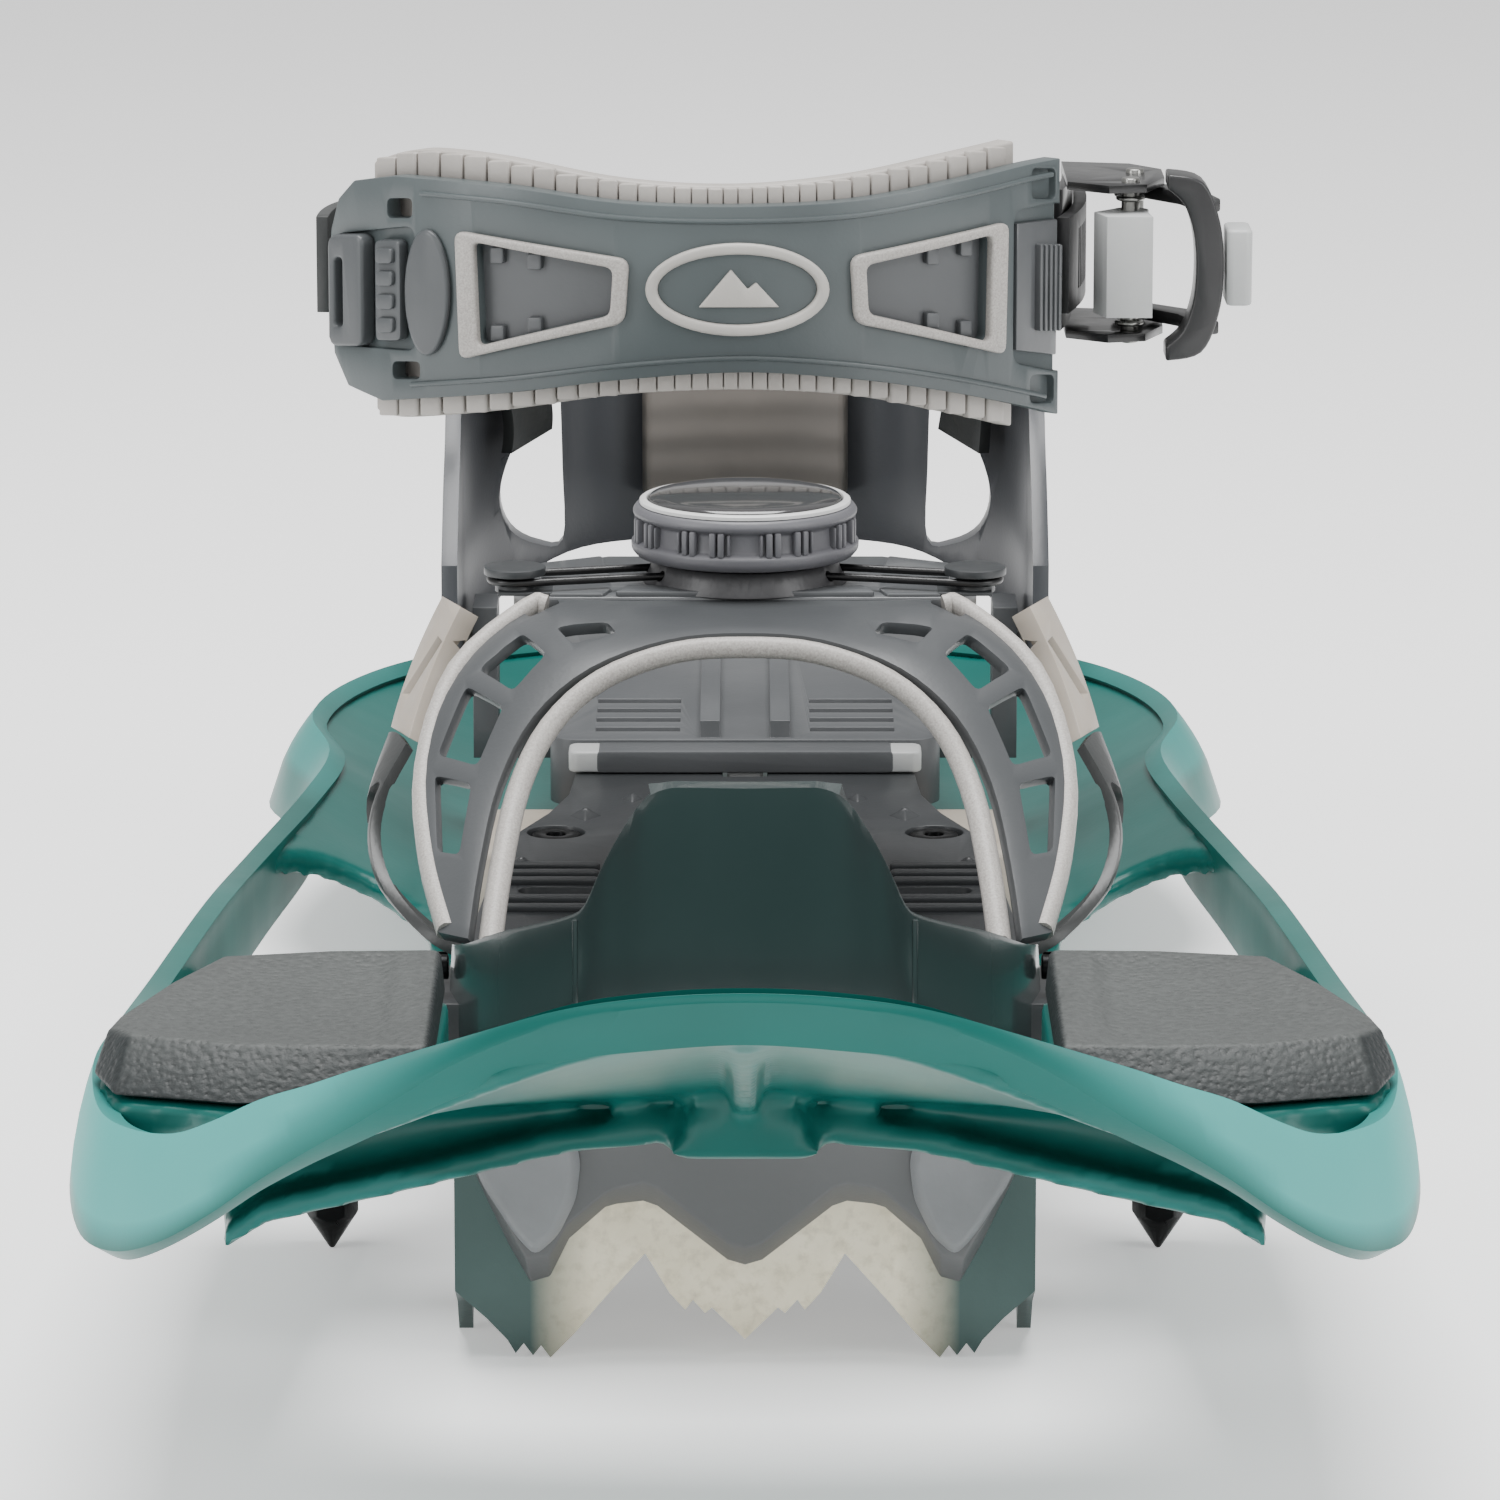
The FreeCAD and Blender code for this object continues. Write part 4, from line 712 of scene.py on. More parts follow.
for x, y, top in guard_half:
    lean = 1.2 if abs(x) < 28 else 0.4
    guard_rows.append([(x, y, top), (x * 1.004, y, top - 3), (x * 1.01, y + 0.1, (top + guard_foot) / 2),
                       (x * 1.01, y + lean * 0.4, guard_foot)])
guard = shell("guard", flow_rows(mirror_rows(guard_rows), 3, 2), 3.2, lambda p: (0, -60, p.z))
round_edges(guard, 0.9, 3, 40.0, 45.0)
dress(guard, gloss, "binding", "toe_guard")
seams = []
for x in (-28.9, 28.9):
    seams.append(prism("seam", [(x - 0.5, 79.0), (x + 0.5, 79.0), (x + 0.5, 48), (x - 0.5, 48)], "Y",
                       -136.2, -134.5))
seam_pair = round_edges(joined("guard_seams", seams), 0.3, 2)
dress(seam_pair, gloss, "binding", slot="toe_guard")
tidied("sole_plate", "binding", moulding, ["front_plate"], 0.6)
tidied("sole_screws", "binding", black_steel, ["plate_screws"], 0.2)
points = []
for side in (-1, 1):
    for x, y, size in ((30.9, 37.5, 1.0), (42.0, -3.7, 1.0), (22.0, 52.0, 0.7)):
        base = [(side * x - 3.4 * size, y), (side * x, y - 5.2 * size), (side * x + 3.4 * size, y),
                (side * x, y + 5.2 * size)]
        ring = [(px, py, 56.9) for px, py in base] + [(side * x, y, 58.7 if size == 1.0 else 58.3)]
        points.append(new_piece("point", ring, [(3, 2, 1, 0)] + [(k, (k + 1) % 4, 4) for k in range(4)]))
    for y in (-8, -14, -20, -34, -41):
        outline = [(side * 36 - 9, y), (side * 36 + 9, y), (side * 36 + 8.6, y + 2.6),
                   (side * 36 - 8.6, y + 2.6)]
        points.append(plate("grip", outline, 1.1, "Z", 56.8, 58.2))
grips = round_edges(joined("sole_grips", points), 0.35, 2, 30.0, 30.0)
dress(grips, moulding, "binding", slot="front_plate")

# ---------------------------------------------------------------------------
# Front crampon: one folded sheet of stainless steel, stained in the middle and darker at the
# claws, with a dark moulded cover riveted on its face and a pale shield on each claw.
# ---------------------------------------------------------------------------
steel = Finish("stained_steel", IOR=2.0)
stain = steel.noise(70.0, 5.0, 0.6)
spots = steel.noise(420.0, 3.0, 0.6)
sides = steel.node("ShaderNodeSeparateXYZ", {}, {0: steel.place()})
across = steel.node("ShaderNodeMath", {"operation": "ABSOLUTE"}, (sides,))
claw = ((across - 0.026) * 90.0).clamped()
base = steel.mix((stain * 1.4 - 0.2).clamped(), rgb(214, 206, 182), rgb(246, 240, 222))
base = steel.mix((spots * 1.6 - 0.75).clamped(), base, rgb(176, 166, 140))
steel.feed("Base Color", steel.mix(claw, base, rgb(96, 112, 110)))
steel.feed("Roughness", (0.3 + stain * 0.25).clamped())
steel.feed("Metallic", (0.45 + claw * 0.5).clamped())
steel.bump(spots + stain * 0.5, 0.0002, 0.35)
tidied("crampon_sheet", "binding", steel, ["front_crampon"], 0.55, 30.0, 3)
tidied("cover_rivets", "binding", zinc, ["crampon_rivets"], 0.2)
cover_dark = plain("cover_moulding", (96, 98, 99), (122, 123, 124), 0.42, 20.0, 1300.0, 0.00006)
shield_light = plain("shield_moulding", (128, 130, 132), (156, 158, 160), 0.42, 60.0, 700.0, 0.0003)


def draft_prism(name, face, foot, front, back):
    """Plate seen from the front whose outline grows from its face to its foot."""
    return loft(name, [(x, front, z) for x, z in face], [(x, back, z) for x, z in foot])


def whole(half):
    """Outline of both halves from the right half of an open line."""
    return [(-x, z) for x, z in reversed(half) if x > 0] + list(half)


face_half = [(0, 21.3), (3, 22.2), (15, 32), (17.5, 32.9), (22, 32), (24, 31), (30.6, 25.4), (33.5, 20),
             (37.5, 19.5), (40.5, 25), (45, 33.6), (47.6, 39), (49, 46.2)]
foot_half = [(0, 16.7), (3, 17.6), (15, 27.2), (17.5, 28.1), (22, 27.6), (24, 27), (30.2, 21.4),
             (33.5, 14.6), (37, 13.6), (40.7, 20.4), (45.6, 31.2), (48.2, 37.6), (49.4, 46.2)]
cover = draft_prism("cover", whole(face_half), whole(foot_half), -136.9, -132.0)
carve(cover, [prism("bore", oval(x, 38, 1.7, 1.7, 12), "Y", -134.5, -131) for x in (-24, 24)])
round_edges(cover, 0.7, 3, 25.0, 40.0)
dress(cover, cover_dark, "binding", "crampon_cover")
shield_foot = [(36, 19.6), (39.6, 23.6), (45.2, 32.6), (48, 40), (48.8, 45.8), (30.2, 45.8), (27.8, 37),
               (28.6, 30), (31.8, 23.4)]
shield_face = [(36, 22), (38.6, 25), (43.6, 33.4), (46, 40.6), (46.6, 44), (31.4, 44), (29.8, 37),
               (30.6, 31), (33.2, 25)]
shields = []
for side in (-1, 1):
    face, foot = ([(side * x, z) for x, z in points][::side] for points in (shield_face, shield_foot))
    shields.append(draft_prism("shield", rounded_outline(face, 1.6), rounded_outline(foot, 2.0),
                               -139.5, -137.2))
shield_pair = round_edges(joined("claw_shields", shields), 0.5, 2, 25.0, 40.0)
dress(shield_pair, shield_light, "binding", "claw_covers")

# ---------------------------------------------------------------------------
# Toe hood: a springy dark web between two pale overmoulded rims, with windows that lighten
# it and a stiff instep plate behind its top edge.
# ---------------------------------------------------------------------------
hood_half = [
    [(0, -50, 111), (0, -36, 111.6), (0, -23, 111.6)],
    [(14, -51, 110), (17, -37, 111.2), (20, -23, 111.5)],
    [(28, -54.5, 105.5), (35, -40, 109.2), (41, -25, 111)],
    [(38, -61, 98), (46.5, -49, 100.6), (54, -38, 102)],
    [(44, -71, 88), (52.2, -63, 88.5), (59.3, -56, 88)],
    [(47, -86, 76.5), (52.8, -81, 76.6), (57.8, -77, 76)],
    [(48.5, -99.5, 66.6), (51.5, -97, 66.6), (53.8, -95, 66.6)],
]


def hood_inside(point):
    return (0, -60, 70)


web_rows = flow_rows(mirror_rows(hood_half), 4, 2)
web = shell("hood_web", web_rows, 2.2, hood_inside)


def between(a, b, share):
    return Vector(a) + (Vector(b) - Vector(a)) * share


def hood_cutter(first, last, low, high, start, end):
    """Closed block through the web between two stations, in shares of the way across."""
    corners = []
    for share, (lo, hi) in ((start, low), (end, high)):
        a = between(hood_half[first][0], hood_half[last][0], share)
        b = between(hood_half[first][2], hood_half[last][2], share)
        corners += [between(a, b, lo), between(a, b, hi)]
    normal = (corners[1] - corners[0]).cross(corners[2] - corners[0]).normalized()
    ring = rounded_outline([corners[0], corners[1], corners[3], corners[2]], 1.6, 3)
    return loft("window", [p + normal * 9 for p in ring], [p - normal * 9 for p in ring])


window_list = [(3, 4, (0.3, 0.74), (0.3, 0.78), 0.08, 0.86), (4, 5, (0.3, 0.76), (0.34, 0.7), 0.08, 0.92),
               (2, 3, (0.36, 0.7), (0.32, 0.74), 0.25, 0.86), (1, 2, (0.3, 0.5), (0.3, 0.55), 0.45, 0.95),
               (2, 3, (0.82, 0.95), (0.8, 0.95), -0.35, 0.05)]
cutters = []
for item in window_list:
    cutter = hood_cutter(*item)
    cutters += [cutter, mirror_copy(cutter, "window_left")]
carve(web, cutters)
round_edges(web, 0.4, 2, 40.0, 45.0)
hood_dark = plain("hood_moulding", (78, 81, 83), (104, 106, 108), 0.36, 24.0, 1200.0, 0.00005)
dress(web, hood_dark, "binding", "toe_hood")

trim_light = Finish("sparkly_rubber")
glint = trim_light.noise(2600.0, 1.0, 0.7)
cloud = trim_light.noise(30.0, 3.0)
trim_light.feed("Base Color", trim_light.mix((glint * 1.8 - 0.5).clamped(),
                                             trim_light.mix(cloud, rgb(158, 154, 150), rgb(176, 172, 168)),
                                             rgb(200, 197, 193)))
trim_light.feed("Roughness", (0.38 + glint * 0.2).clamped())
trim_light.bump(glint, 0.00006, 0.3)


def ribbon(name, centre_line, wide, deep, inside):
    """Rubber rim of rounded section along a line; wide(share) across it, deep towards inside."""
    line = flow(centre_line, 4)
    around = 12
    points = []
    n = len(line)
    for i, p in enumerate(line):
        along = (line[min(i + 1, n - 1)] - line[max(i - 1, 0)]).normalized()
        inward = Vector(inside(p)) - p
        inward = (inward - along * inward.dot(along)).normalized()
        across = along.cross(inward).normalized()
        w = wide(i / (n - 1))
        for ca, sa in oval(0, 0, 1, 1, around):
            bulge = 1.0 / max(abs(ca) ** 3.0 + abs(sa) ** 3.0, 1e-6) ** (1 / 3.0)
            points.append(p + across * (w / 2 * ca * bulge) + inward * (deep / 2 * (1 + sa * bulge)))
    faces = [(i * around + k, i * around + (k + 1) % around, (i + 1) * around + (k + 1) % around,
              (i + 1) * around + k) for i in range(n - 1) for k in range(around)]
    faces += [tuple(range(around)), tuple(range((n - 1) * around, n * around))]
    return new_piece(name, points, faces)


inner_line = [(x * 0.955 if x else 0, y - 2.2 * (1 - abs(x) / 60), z - 0.2) for (x, y, z), _, _ in hood_half]
inner_line = [(-x, y, z) for x, y, z in reversed(inner_line[1:])] + inner_line
inner_rim = ribbon("hood_rim_inner", inner_line, lambda share: 4.4, 3.9, hood_inside)
dress(settle(inner_rim, 60.0), trim_light, "binding", "hood_trim_inner")
rims = []
for side in (-1, 1):
    line = [(side * x * 1.005, y + 0.6, z + 0.1) for _, _, (x, y, z) in hood_half[2:]]
    line = [(side * 36, -23.5, 111.2)] + line
    rims.append(ribbon("rim", line, lambda share: 8.5 - 4.6 * unit((share - 0.06) * 2.2), 3.8, hood_inside))
outer_rims = settle(joined("hood_rims_outer", rims), 60.0)
dress(outer_rims, trim_light, "binding", "hood_trims_outer")
smoke = plain("smoke_moulding", (84, 86, 88), (122, 124, 126), 0.3, 50.0, 800.0, 0.00005, Coat_Weight=0.15)
tidied("instep_carrier", "binding", smoke, ["instep_plate"], 0.8)
facets = []
facet_list = [([(8, -21.6), (24, -21.8), (22, -15.5), (9, -16)], 113.0),
              ([(26, -21.8), (36, -21.6), (41.4, -13), (29, -13.5), (24.6, -16)], 112.6),
              ([(25, -8), (38, -8.5), (38.5, 5), (27, 12)], 113.2)]
for side in (-1, 1):
    for outline, high in facet_list:
        facets.append(plate("facet", [(side * x, y) for x, y in outline][::side], 1.0, "Z", 111.8, high))
instep_facets = round_edges(joined("instep_facets", facets), 0.4, 2)
dress(instep_facets, smoke, "binding", slot="instep_plate")
lace_black = plain("lace_jacket", (18, 18, 19), (34, 34, 36), 0.35, 300.0, 1800.0)
tidied("lace_loops", "binding", lace_black, ["laces"], 0.0)
tidied("lace_turns", "binding", moulding, ["lace_guides"], 0.4)
tidied("hood_pins", "binding", black_steel, ["hood_rivets"], 0.3)
link_beige = plain("link_nylon", (168, 160, 150), (192, 185, 176), 0.35, 40.0, 1000.0, 0.00005)
link_beige.shader.inputs["Subsurface Weight"].default_value = 0.15
link_beige.shader.inputs["Subsurface Radius"].default_value = (0.004, 0.003, 0.002)
tidied("slotted_links", "binding", link_beige, ["side_links"], 0.7)

strap_rubber = plain("strap_rubber", (58, 61, 61), (84, 86, 86), 0.4, 40.0, 900.0)
strap_rows = [[(62.5, -24.6, 85), (64.6, -17.6, 85.6), (66.3, -11, 84.2)],
              [(67.4, -33, 77), (69.2, -26, 77), (69.4, -20, 76)],
              [(68.4, -41, 70), (69.8, -35, 69.5), (69.4, -29, 69)],
              [(65.4, -50, 63), (66.6, -44.6, 62.2), (66.2, -39.5, 61.5)],
              [(58, -60, 57), (58.6, -55, 56.4), (58, -50.5, 55.8)],
              [(52, -62.6, 53.8), (52, -57.5, 53.6), (52, -52.3, 53.4)]]
strap = shell("strap", flow_rows(strap_rows, 4, 2), 2.0, lambda p: (30, p.y, 80))
leaf = [(-29, 79.5), (-24.5, 75.5), (-27, 70), (-33, 65.5), (-40, 62), (-45, 62), (-41, 67), (-35.5, 73)]
carve(strap, [plate("leaf", leaf, 2.5, "X", 50, 90)])
round_edges(strap, 0.5, 2, 40.0, 45.0)
straps = joined("side_strap_pair", [strap, mirror_copy(strap, "strap_left")])
shaded(straps, 45.0)
dress(straps, strap_rubber, "binding", "side_straps")

# ---------------------------------------------------------------------------
# Lacing dial: a housing with lugs for the lace, a grip ring with recesses and rib pairs, a
# thin pale ring and a glossy domed cap.
# ---------------------------------------------------------------------------
dial_dark = plain("dial_housing", (74, 74, 76), (94, 94, 96), 0.4, 60.0, 900.0)
dial_rubber = plain("dial_rubber", (106, 106, 110), (128, 128, 132), 0.42, 70.0, 1400.0, 0.00008)
dial_gloss = plain("dial_gloss", (70, 70, 71), (88, 87, 88), 0.12, 12.0, 300.0, 0.00002, Coat_Weight=0.6)
tidied("dial_housing", "binding", dial_dark, ["dial_base"], 0.5)
tidied("spool_drum", "spool", moulding, ["dial_spool"], 0.2)
dial_centre = Vector((0.0, -5.0))


def turned(name, profile):
    """Solid of revolution about the dial's axis, from (radius, height) places."""
    steps = 96
    points, faces = [], []
    n = len(profile)
    for cx, cy in oval(0, 0, 1, 1, steps):
        points += [(dial_centre.x + r * cx, dial_centre.y + r * cy, z) for r, z in profile]
    for k in range(steps):
        j = (k + 1) % steps
        faces += [(k * n + i, j * n + i, j * n + (i + 1) % n, k * n + (i + 1) % n) for i in range(n)]
    return new_piece(name, points, faces)


low, high = 116.65, 126.55
grip = turned("grip", [(3.8, low), (17.5, low), (20.2, low + 0.5), (21.1, low + 1.6), (21.2, low + 3.0),
                       (19.7, low + 3.8), (19.5, low + 7.2), (20.7, low + 8.0), (20.9, low + 8.8),
                       (20.2, high - 0.1), (19.8, high), (3.8, high)])


def repeat(name, item, finish, places):
    """Copies of an item at places, as (point, turn about Z, size), by Geometry Nodes."""
    mesh = bpy.data.meshes.new(name)
    mesh.from_pydata([Vector(p) * MM for p, _, _ in places], [], [])
    for label, index in (("turn", 1), ("size", 2)):
        layer = mesh.attributes.new(label, "FLOAT_VECTOR", "POINT")
        for entry, record in zip(layer.data, places):
            entry.vector = record[index]
    piece = placed(name, mesh)
    tree = bpy.data.node_groups.new(name + "_copies", "GeometryNodeTree")
    tree.interface.new_socket("Places", in_out="INPUT", socket_type="NodeSocketGeometry")
    picked = tree.interface.new_socket("Item", in_out="INPUT", socket_type="NodeSocketObject")
    tree.interface.new_socket("Copies", in_out="OUTPUT", socket_type="NodeSocketGeometry")
    entry, result = tree.nodes.new("NodeGroupInput"), tree.nodes.new("NodeGroupOutput")
    info = tree.nodes.new("GeometryNodeObjectInfo")
    stamp = tree.nodes.new("GeometryNodeInstanceOnPoints")
    real = tree.nodes.new("GeometryNodeRealizeInstances")
    paint = tree.nodes.new("GeometryNodeSetMaterial")
    paint.inputs["Material"].default_value = finish.material
    tree.links.new(entry.outputs["Item"], info.inputs["Object"])
    tree.links.new(info.outputs["Geometry"], stamp.inputs["Instance"])
    tree.links.new(entry.outputs["Places"], stamp.inputs["Points"])
    for label, socket in (("turn", "Rotation"), ("size", "Scale")):
        reader = tree.nodes.new("GeometryNodeInputNamedAttribute")
        reader.data_type = "FLOAT_VECTOR"
        reader.inputs["Name"].default_value = label
        tree.links.new(reader.outputs["Attribute"], stamp.inputs[socket])
    tree.links.new(stamp.outputs["Instances"], real.inputs["Geometry"])
    tree.links.new(real.outputs["Geometry"], paint.inputs["Geometry"])
    tree.links.new(paint.outputs["Geometry"], result.inputs[0])
    copies = piece.modifiers.new("copies", "NODES")
    copies.node_group = tree
    copies[picked.identifier] = item
    settle(piece, 40.0)
    discard(item)
    return piece


def small_block(name, x, y, z, edge):
    """Block centred on the origin with rounded edges, as an item to repeat."""
    outline = [(-x / 2, -y / 2), (x / 2, -y / 2), (x / 2, y / 2), (-x / 2, y / 2)]
    return round_edges(prism(name, outline, "Z", -z / 2, z / 2), edge, 2)


rib_places = []
for k in range(8):
    for radius, size, offsets in ((20.0, (1, 1, 1), (-17, -12.5, 12.5, 17)),
                                  (19.6, (1.2, 0.45, 0.85), (-8.5, 8.5))):
        for offset in offsets:
            a = math.radians(45 * k - 90 + offset)
            spot = (dial_centre.x + radius * math.cos(a), dial_centre.y + radius * math.sin(a), low + 5.5)
            rib_places.append((spot, (0, 0, a), size))
grip_ribs = repeat("grip_ribs", small_block("rib", 2.0, 1.2, 4.6, 0.35), dial_rubber, rib_places)
knob = joined("dial_grip", [round_edges(grip, 0.3, 2, 30.0), grip_ribs])
shaded(knob, 38.0)
dress(knob, dial_rubber, "knob", "dial_knob")
pale_ring = plain("ring_pale", (205, 205, 204), (226, 226, 225), 0.35, 200.0, 900.0)
halo = turned("ring", [(18.2, 126.7), (19.6, 126.7), (19.6, 127.3), (19.2, 127.6), (18.4, 127.6),
                       (18.2, 127.3)])
dress(settle(halo, 40.0), pale_ring, "knob", "dial_ring")
dome_profile = [(0.01, 126.7), (17.6, 126.7), (17.9, 127.0), (17.9, 127.7)]
dome_profile += [(17.9 * math.cos(math.radians(a)), 127.7 + 1.6 * math.sin(math.radians(a)))
                 for a in range(12, 90, 13)] + [(0.01, 129.3)]
dome = turned("dial_dome", dome_profile)
dress(settle(dome, 30.0), dial_gloss, "knob", "dial_cap")

# ---------------------------------------------------------------------------
# Heel: a ribbed grey plate that slides on the tongue, its pale catch, the pins of the
# highback, and the moulded U-shaped highback with a soft translucent heel pad.
# ---------------------------------------------------------------------------
heel_grey = plain("heel_moulding", (92, 94, 96), (116, 118, 120), 0.4, 22.0, 1100.0, 0.00006)
pale_nylon = plain("pale_nylon", (178, 180, 180), (205, 206, 205), 0.4, 50.0, 900.0, 0.00005)
tidied("heel_slider", "heel", heel_grey, ["heel_plate"], 0.8)
tidied("latch_bar", "latch", pale_nylon, ["length_latch"], 0.6)
catch_cover = slab("latch_cover", (-29.5, 29.5), (57.25, 61.6), 1.0, "Y", 73.9, 82.8)
dress(round_edges(catch_cover, 0.4, 2, 30.0), heel_grey, "latch", slot="length_latch")
tidied("lean_pins", "heel", zinc, ["highback_pins"], 0.3)
back_grey = plain("highback_moulding", (84, 86, 90), (108, 110, 114), 0.34, 16.0, 1200.0, 0.00005)
back_line = [(0, 198, 150, 82), (22, 195, 149, 82), (40, 184, 145, 81), (54, 160, 134, 76),
             (60.4, 140, 126, 67), (61, 120, 113, 66), (61, 100, 94, 68)]
back_rows = [[(x, y, top), (x, y, (top + foot) / 2), (x, y, foot)] for x, y, top, foot in back_line]
back = shell("highback", flow_rows(mirror_rows(back_rows), 5, 3), 3.2, lambda p: (0, 130, p.z))
leaf_line = [(39, 117), (38.6, 100), (38.6, 84), (44, 84.6), (49.2, 89.5), (51.2, 97), (49, 105.5),
             (44, 112.5)]
leaf_cut = prism("leaf", flow(leaf_line + leaf_line[:1], 4)[:-1], "Y", 150, 215)
pin_hole = prism("pin_hole", oval(135, 72, 3.1, 3.1), "X", -80, 80)
carve(back, [leaf_cut, mirror_copy(leaf_cut, "leaf_left"), pin_hole])
dress(round_edges(back, 0.8, 3, 40.0, 50.0), back_grey, "highback", "highback_shell")
pad_skin = Finish("heel_pad_skin", Coat_Roughness=0.3)
spread = pad_skin.noise(40.0, 3.0)
height_of = pad_skin.node("ShaderNodeSeparateXYZ", {}, {0: pad_skin.place()}, output=2)
fold = pad_skin.node("ShaderNodeMath", {"operation": "SINE"}, ((height_of + spread * 0.003) * 900.0,))
pad_skin.feed("Base Color", pad_skin.mix(spread, rgb(124, 120, 116), rgb(160, 154, 148)))
pad_skin.feed("Roughness", (0.36 + spread * 0.15).clamped())
pad_skin.bump(fold * 0.5 + spread, 0.0004, 0.5)
tidied("heel_cushion", "highback", pad_skin, ["heel_pad"], 1.8, 30.0, 3)
tidied("anchor_straps", "highback", strap_rubber, ["anchor_strap_right", "anchor_strap_left"], 0.5)
tidied("hinge_fork", "highback", moulding, ["hinge_bracket"], 0.5)
tidied("hinge_pin", "highback", zinc, ["cuff_hinge_pin"], 0.3)

# ---------------------------------------------------------------------------
# Ankle cuff: a stiff dark band over a pale blocky liner, with framed windows and an oval
# badge. Everything on it is drawn flat (along, outward, up) and then bent to the cuff.
# ---------------------------------------------------------------------------
cuff_middle, cuff_arc, cuff_rise, cuff_sag = Vector((-10.0, 135.0)), 90.0, 158.8, 5.3


def bent(piece, sharp=40.0):
    """Bend a flat piece round the ankle, after cutting it across at an even pitch."""
    pitch = 2.5
    work = bmesh.new()
    work.from_mesh(piece.data)
    reach = [v.co.x / MM for v in work.verts]
    place = math.ceil(min(reach) / pitch) * pitch
    while place < max(reach):
        geometry = work.verts[:] + work.edges[:] + work.faces[:]
        bmesh.ops.bisect_plane(work, geom=geometry, dist=1e-7, plane_co=(place * MM, 0, 0),
                               plane_no=(1, 0, 0))
        place += pitch
    for vertex in work.verts:
        along, out, up = vertex.co / MM
        a, r = along / cuff_arc, cuff_arc + out
        z = cuff_rise - cuff_sag * (math.degrees(a) / 53.0) ** 2 + up
        vertex.co = Vector((cuff_middle.x + r * math.sin(a), cuff_middle.y - r * math.cos(a), z)) * MM
    work.to_mesh(piece.data)
    work.free()
    return settle(piece, sharp)


def edge_curve(places, low, high, steps):
    """Smooth line through (along, up) places, cut to a range."""
    return [(p.x, p.y) for p in flow(places, steps) if low - 1e-6 <= p.x <= high + 1e-6]


THROUGH = (-9, 9)
shell_top = edge_curve([(-63, 21.8), (-38, 19.8), (-14, 16.6), (9, 15.9), (32, 17), (55, 20.8), (72, 24),
                        (83, 25.5)], -63, 83, 6)
shell_low = edge_curve([(83, -25.3), (66, -22.6), (48, -19.8), (30, -17.6), (9, -16.3), (-14, -17.8),
                        (-38, -20.6), (-67, -22.4)], -67, 83, 6)
shell_outline = [(-83, 3), (-82, 11.7), (-79.5, 17.5), (-74.5, 21)] + shell_top + shell_low
shell_outline += [(-77, -19.5), (-81.5, -13)]
window_in = {-1: [(-43.4, 9.1), (-15.2, 4.1), (-15.8, -5.1), (-42.6, -11.2)],
             1: [(33.6, 4.6), (61.8, 10.4), (61.4, -10.6), (34.2, -4.9)]}
window_out = {-1: [(-47.6, 11.3), (-12.1, 5.8), (-13, -6.6), (-46.7, -13.9)],
              1: [(30.6, 6.3), (66.2, 13), (65.6, -13.2), (31.4, -6.7)]}
band = prism("band", shell_outline, "Y", -4.0, 0.0)
cuts = [plate("hole", window_in[side], 1.6, "Y", *THROUGH) for side in (-1, 1)]
for outline in ([(-81.4, 10.4), (-58, 12), (-58, -12.5), (-81.4, -11.3)],
                [(69, 15), (83.9, 17), (83.9, -17), (69, -15)]):
    cuts.append(plate("rest", outline, 2.5, "Y", -1.3, 9))
cuts.append(slab("slot", (-65, -58.6), (17.4, 13.6), 1.2, "Y", *THROUGH))
cuts.append(slab("slot", (-64, -57), (-14.6, -18), 1.2, "Y", *THROUGH))
for rise in ((23.4, 17.4), (-17.4, -23)):
    cuts.append(slab("notch", (74, 81.5), rise, 1.4, "Y", -1.8, 9))
carve(band, cuts)
round_edges(band, 0.9, 2, 30.0)
cuff_dark = plain("cuff_moulding", (82, 88, 90), (114, 122, 123), 0.36, 20.0, 1300.0, 0.00005)
band_parts = [band]
for line, near, far in ((shell_top[2:-2], -3.4, -2.4), (shell_low[2:-2], 2.4, 3.4)):
    outline = [(u, v + near) for u, v in line] + [(u, v + far) for u, v in reversed(line)]
    band_parts.append(round_edges(prism("rail", outline, "Y", -0.6, 0.55), 0.4, 2, 30.0))
dress(bent(joined("cuff_band", band_parts)), cuff_dark, "cuff", "cuff_shell")

frames, plates = [], []
for side in (-1, 1):
    ring = plate("frame", window_out[side], 2.2, "Y", -0.4, 1.7)
    carve(ring, [plate("hole", window_in[side], 1.6, "Y", *THROUGH)])
    frames.append(round_edges(ring, 0.6, 3, 40.0))
    centre = sum((Vector(p) for p in window_in[side]), Vector((0, 0))) / 4
    wider = [centre + (Vector(p) - centre) * 1.03 for p in window_in[side]]
    plates.append(round_edges(plate("plate", wider, 1.6, "Y", -3.6, -2.4), 0.2, 1))
    spots = [(-39.6, 6.2), (-31.6, 5.0), (-39.6, -9.0), (-31.6, -7.4)]
    if side > 0:
        spots = [(57.4, 7.6), (49.4, 6.0), (57.4, -8.2), (49.4, -6.6)]
    for u, v in spots:
        nub = slab("nub", (u - 1.5, u + 1.5), (v - 1.6, v + 1.6), 0.6, "Y", -2.8, -0.9)
        plates.append(round_edges(nub, 0.4, 2))
dress(bent(joined("window_frames", frames), 60.0), trim_light, "cuff", "window_trims")
dress(bent(joined("window_inserts", plates)), heel_grey, "cuff", "window_plates")

